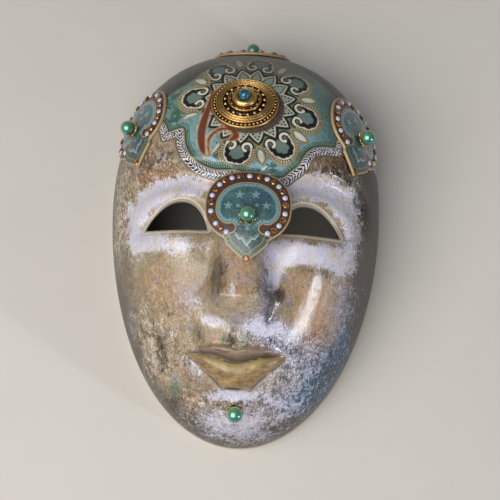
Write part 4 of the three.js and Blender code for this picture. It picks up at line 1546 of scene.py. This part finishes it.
def printed_card():
    """Brown ring with tan lines, a fringed teal field with stars, and a green pointed end."""
    material, shader = new_material("printed_card")
    where = place_in_mm()
    s, t, _ = attribute_parts("card_place")
    rim, run, brown, brown_run, crown = (
        attribute(name) for name in ("rim_far", "rim_run", "brown", "brown_run", "crown")
    )
    cloud, grain = noise(where, 7, 6, 0.65, 0.4), noise(where, 1.2, 4, 0.65)
    field = paint(rgb(40, 72, 78), rgb(82, 122, 124), ramp(0.40, 0.64, cloud * 0.6 + grain * 0.4))
    violet = under(length_of((s - 7.0) / 1.2, t - 10.0), 5.0, 3.0) * ramp(0.42, 0.6, grain)
    stroke = ramp(0.25, 0.6, zigzag(brown_run / 1.15) + (grain - 0.5) * 0.8)
    fringe = under(brown, 2.2 + (grain - 0.5) * 3.0, 0.4) * under(0 - t, 6.5, 0.8)
    field = coats(
        field,
        (78, 84, 138, violet * 0.7),
        (24, 36, 46, ramp(0.54, 0.62, grain) * 0.7),
        (120, 160, 166, ramp(0.44, 0.36, grain) * 0.5),
        (paint(rgb(82, 124, 134), rgb(140, 184, 192), stroke), fringe * 0.8),
        *[(136, 178, 184, star(s, t, *one) * 0.65) for one in STARS],
    )
    point = coats(
        paint(rgb(30, 46, 56), rgb(58, 92, 94), ramp(0.42, 0.6, grain)),
        (164, 192, 184, between(crown, -0.3, 0.3)),
        (122, 158, 152, between(crown, 0.8, 1.2) * 0.8),
    )
    tail = coats(
        paint(rgb(24, 48, 46), rgb(74, 108, 92), ramp(0.3, 0.5, zigzag(run / 1.5))),
        (point, ramp(3.3, 3.5, rim)),
        (150, 130, 84, between(rim, 2.95, 3.35)),
    )
    ring = paint(rgb(62, 42, 38), rgb(86, 60, 50), ramp(0.4, 0.65, grain))
    above = under(0 - t, 14.6, 0.2)
    colour = coats(
        field,
        (tail, under(t, -9.6, 0.5)),
        (ring, ramp(0.1, -0.1, brown) * above),
        (178, 150, 108, between(brown, -0.35, 0.3) * above),
        (44, 34, 30, between(brown, 0.3, 0.55) * above),
        (172, 146, 104, under(rim, 0.75)),
        (96, 74, 52, between(rim, 0.8, 1.0)),
    )
    rough = ramp(0.3, 0.7, grain) * 0.25 + 0.3
    set_inputs(shader, Base_Color=colour, Roughness=rough, Coat_Weight=0.7, Coat_Roughness=0.14)
    raise_surface(shader, grain * 0.5 + ramp(0.9, 0.4, abs(brown)) * 0.5, 0.15, 0.5)
    return material


PRINTED = printed_card()
for name, over in SEATS.items():
    form = closed(over(card_s, card_t, card_lift))
    card = make_piece(f"{name}_card", *form, [PRINTED], "card", [f"{name}_medallion"])
    for key, values in card_marks.items():
        set_values(card, key, values)
    tell(card)

# %% Places of the stones
a = np.linspace(-STUD_END, math.pi + STUD_END, STUD_COUNT)
stone_places = np.concatenate([on_ring(a, STUD_BAND), [[0, 2.4 - CARD_TIP]]])
is_amber = np.append(np.arange(STUD_COUNT) % 2 == 1, True)
AMBER_CUT = [(0, 0.1), (1.7, 0.12), (1.9, 0.4), (1.88, 0.6), (1.2, 1.15), (0, 1.2)]
OPAL_CUT = domed(1.55, 0.25, 1.1, 9, start=0.1)


def amber_glass():
    """Brown glass cut in facets; their flashes of light are painted: fine noise makes some spots dark and
    some orange.
    """
    material, shader = new_material("amber_glass")
    colour = paint(rgb(70, 42, 22), rgb(214, 146, 78), ramp(0.44, 0.66, noise(place_in_mm(), 1.1, 2)))
    set_inputs(shader, Base_Color=colour, Roughness=0.12, Metallic=0.35, Coat_Weight=1.0)
    return material


def opal_glass():
    """Milky glass with a bluish bloom."""
    material, shader = new_material("opal_glass")
    colour = paint(rgb(206, 206, 222), rgb(182, 190, 208), noise(place_in_mm(), 1.4, 2))
    set_inputs(shader, Base_Color=colour, Roughness=0.22, Coat_Weight=1.0,
               Subsurface_Weight=0.15, Subsurface_Radius=(MM, MM, MM))
    return material


CUTS = {
    "amber": (turned(AMBER_CUT, 8, flat), amber_glass()),
    "opal": (turned(OPAL_CUT, 24, flat), opal_glass()),
}


def stones(name, kind, over, chosen, replaced=()):
    """The chosen stones of one card, set on its face; the amber ones keep their facets."""
    s, t = stone_places[chosen].T
    template, material = CUTS[kind]
    form = copies(template, *axes_at(over, s, t, np.full(len(s), CARD)))
    make_piece(name, *form, [material], kind, replaced, kind == "opal")


for k, amber in enumerate(is_amber):
    kind = "amber" if amber else "opal"
    stones(f"{kind}_stone_{k + 1:02d}", kind, over_middle, [k], [f"{kind}_stud_{k + 1:02d}"])
for name in ("left", "right", "top"):
    for kind, chosen in (("amber", is_amber), ("opal", ~is_amber)):
        stones(f"{name}_{kind}_stones", kind, SEATS[name], chosen)
print("stones:", is_amber.sum() * 4, "amber and", (~is_amber).sum() * 4, "white")

# %% Pearls and their caps
PEARL_T = -1.8  # place of a pearl on its card
PEARL_RADIUS, CHIN_PEARL_RADIUS, PEARL_RISE, CHIN_SEAT = 4.3, 4.7, 0.95, 0.9


def chin_place():
    """The round of the chin, with its own slope."""
    y, e = MOUTH_Y - CHIN_DROP, 0.5
    n = unit(np.array([0, -(face(0.0, y + e) - face(0.0, y - e)) / (2 * e), 1.0]))
    return np.array([0, y, face(0.0, y)]), np.array([1.0, 0, 0]), np.array([0, n[2], -n[1]]), n


def pearl_seats():
    """Middle and axes under each pearl, and how far its cap stands off."""
    for name, over in SEATS.items():
        c, axes = axes_at(over, np.zeros(1), np.full(1, PEARL_T), np.full(1, CARD))
        yield name, (c[0], *axes[0]), GAP, PEARL_RADIUS
    yield "chin", chin_place(), CHIN_SEAT, CHIN_PEARL_RADIUS


def pearl_green():
    """A dyed pearl: green, with painted shade that makes it darker and bluer on the side away from the
    light, and a soft metal gleam.
    """
    material, shader = new_material("green_pearl")
    where = place_in_mm()
    turn = attribute("pearl_side") + (noise(where, 4, 3) - 0.5) * 0.8
    colour = paint(rgb(124, 184, 142), rgb(44, 124, 126), ramp(-0.3, 1.0, turn))
    colour = coats(colour, (160, 204, 176, ramp(0.5, 0.7, noise(where, 2.2, 4)) * 0.35))
    set_inputs(shader, Base_Color=colour, Metallic=0.65, Roughness=0.3, Coat_Weight=1.0,
               Coat_Roughness=0.1)
    return material


DYED, PETAL_GOLD = pearl_green(), old_gold("petal_gold")
CAP_RINGS = [(0, 0.0), (2.6, 0.0), (3.4, 0.35), (4.1, 1.1), (4.65, 2.1), (4.35, 2.25), (3.8, 1.4),
             (3.1, 0.7), (2.4, 0.5), (0, 0.5)]


def petals(place, lift):
    """A cup whose upper edge is drawn out in six pointed petals."""
    over = over_straight(place, lift)
    r, height = (np.array(values)[:, None] for values in zip(*CAP_RINGS))
    a = np.linspace(0, 2 * math.pi, 72, endpoint=False)
    petal = 1 - np.abs(np.sin(3 * a + math.pi / 4))
    out = step(2.9, 4.6, r)
    r = r + out * (1.35 * petal - 0.45)
    height = height + out * (0.55 * petal - 0.15)
    return closed(over(r * np.cos(a), r * np.sin(a), height))


for name, place, lift, radius in pearl_seats():
    make_piece(f"{name}_petal_cap", *petals(place, lift), [PETAL_GOLD], "gilt", [f"{name}_pearl_cap"])
    form = turned(ball(radius, 40), 64, over_straight(place, lift + PEARL_RISE))
    pearl = make_piece(f"{name}_green_pearl", *form, [DYED], "pearl", [f"{name}_pearl"])
    out = unit(form[0] - form[0].mean(0))
    set_values(pearl, "pearl_side", out @ unit(np.array([0.5, -0.8, 0.1])))
    tell(pearl)

# %% [markdown]
# ## Floor, light and camera
# The mask lies on a plain pale floor under soft light. The camera looks down on it as the
# photograph's does: almost square to the floor, from 0.8 m.

# %% Floor
def make_floor():
    """A wide pale sheet just under the object."""
    mesh = bpy.data.meshes.new("floor")
    ground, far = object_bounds()[0][2] - 0.0005, 3.0
    corners = [(far * i, far * j, ground) for i, j in ((-1, -1), (1, -1), (1, 1), (-1, 1))]
    mesh.from_pydata(corners, [], [(0, 1, 2, 3)])
    material, shader = new_material("pale_floor")
    shade = paint(rgb(206, 203, 198), rgb(200, 197, 191), noise(place_in_mm(), 60, 3))
    set_inputs(shader, Base_Color=shade, Roughness=0.8)
    mesh.materials.append(material)
    floor = bpy.data.objects.new("floor", mesh)
    bpy.context.scene.collection.objects.link(floor)


make_floor()


# %% Light
def standing(axes, place):
    """The matrix of something that stands at a place, its axes in the columns."""
    return Matrix(np.block([[axes, np.array(place)[:, None]], [np.zeros(3), 1]]).tolist())


def soft_light(name, place, size, power, colour=(1, 1, 1)):
    """A square soft box that faces the mask."""
    lamp = bpy.data.lights.new(name, "AREA")
    lamp.shape, lamp.size, lamp.energy, lamp.color = "SQUARE", size, power, colour
    box = bpy.data.objects.new(name, lamp)
    bpy.context.scene.collection.objects.link(box)
    n = unit(np.array(place, float))
    across = unit(np.cross([0, 1, 0.01], n))
    box.matrix_world = standing(np.stack([across, np.cross(n, across), n], 1), place)


soft_light("key", (-0.40, -0.34, 0.98), 1.0, 13.6, (1.0, 0.965, 0.92))
soft_light("side", (0.9, -0.53, 0.38), 0.07, 3.0, (0.86, 0.91, 1.0))
world = bpy.data.worlds.new("studio")
bpy.context.scene.world = world
world.use_nodes = True
set_inputs(world.node_tree.nodes["Background"], Color=(0.93, 0.95, 1, 1), Strength=0.14)
bpy.context.scene.view_settings.view_transform = "Standard"

# %% Camera
YAW, PITCH, ROLL = np.radians([1.5, -11, 2.7])
TARGET = np.array([0, -3, 55.0])
DISTANCE = 800.0
LENS = 1358 / 500 * 36
AIM = np.array([3.83, -7.66])  # keeps the target where the photograph has it


def add_camera():
    """A camera turned by yaw, pitch and roll about the target."""
    back = np.array([
        math.sin(YAW) * math.cos(PITCH), math.sin(PITCH), math.cos(YAW) * math.cos(PITCH),
    ])
    right = unit(np.cross([0, 1, 0], back))
    up = np.cross(back, right)
    right, up = (
        math.cos(ROLL) * right + math.sin(ROLL) * up, math.cos(ROLL) * up - math.sin(ROLL) * right,
    )
    place = TARGET + DISTANCE * back
    axis = unit(place - TARGET - AIM[0] * right - AIM[1] * up)
    right = unit(np.cross(up, axis))
    up = np.cross(axis, right)
    camera = bpy.data.objects.new("camera", bpy.data.cameras.new("camera"))
    camera.data.lens, camera.data.sensor_width = LENS, 36
    bpy.context.scene.collection.objects.link(camera)
    turn = np.stack([right, up, axis], 1)
    camera.matrix_world = standing(turn, place * MM)
    bpy.context.scene.camera = camera


add_camera()
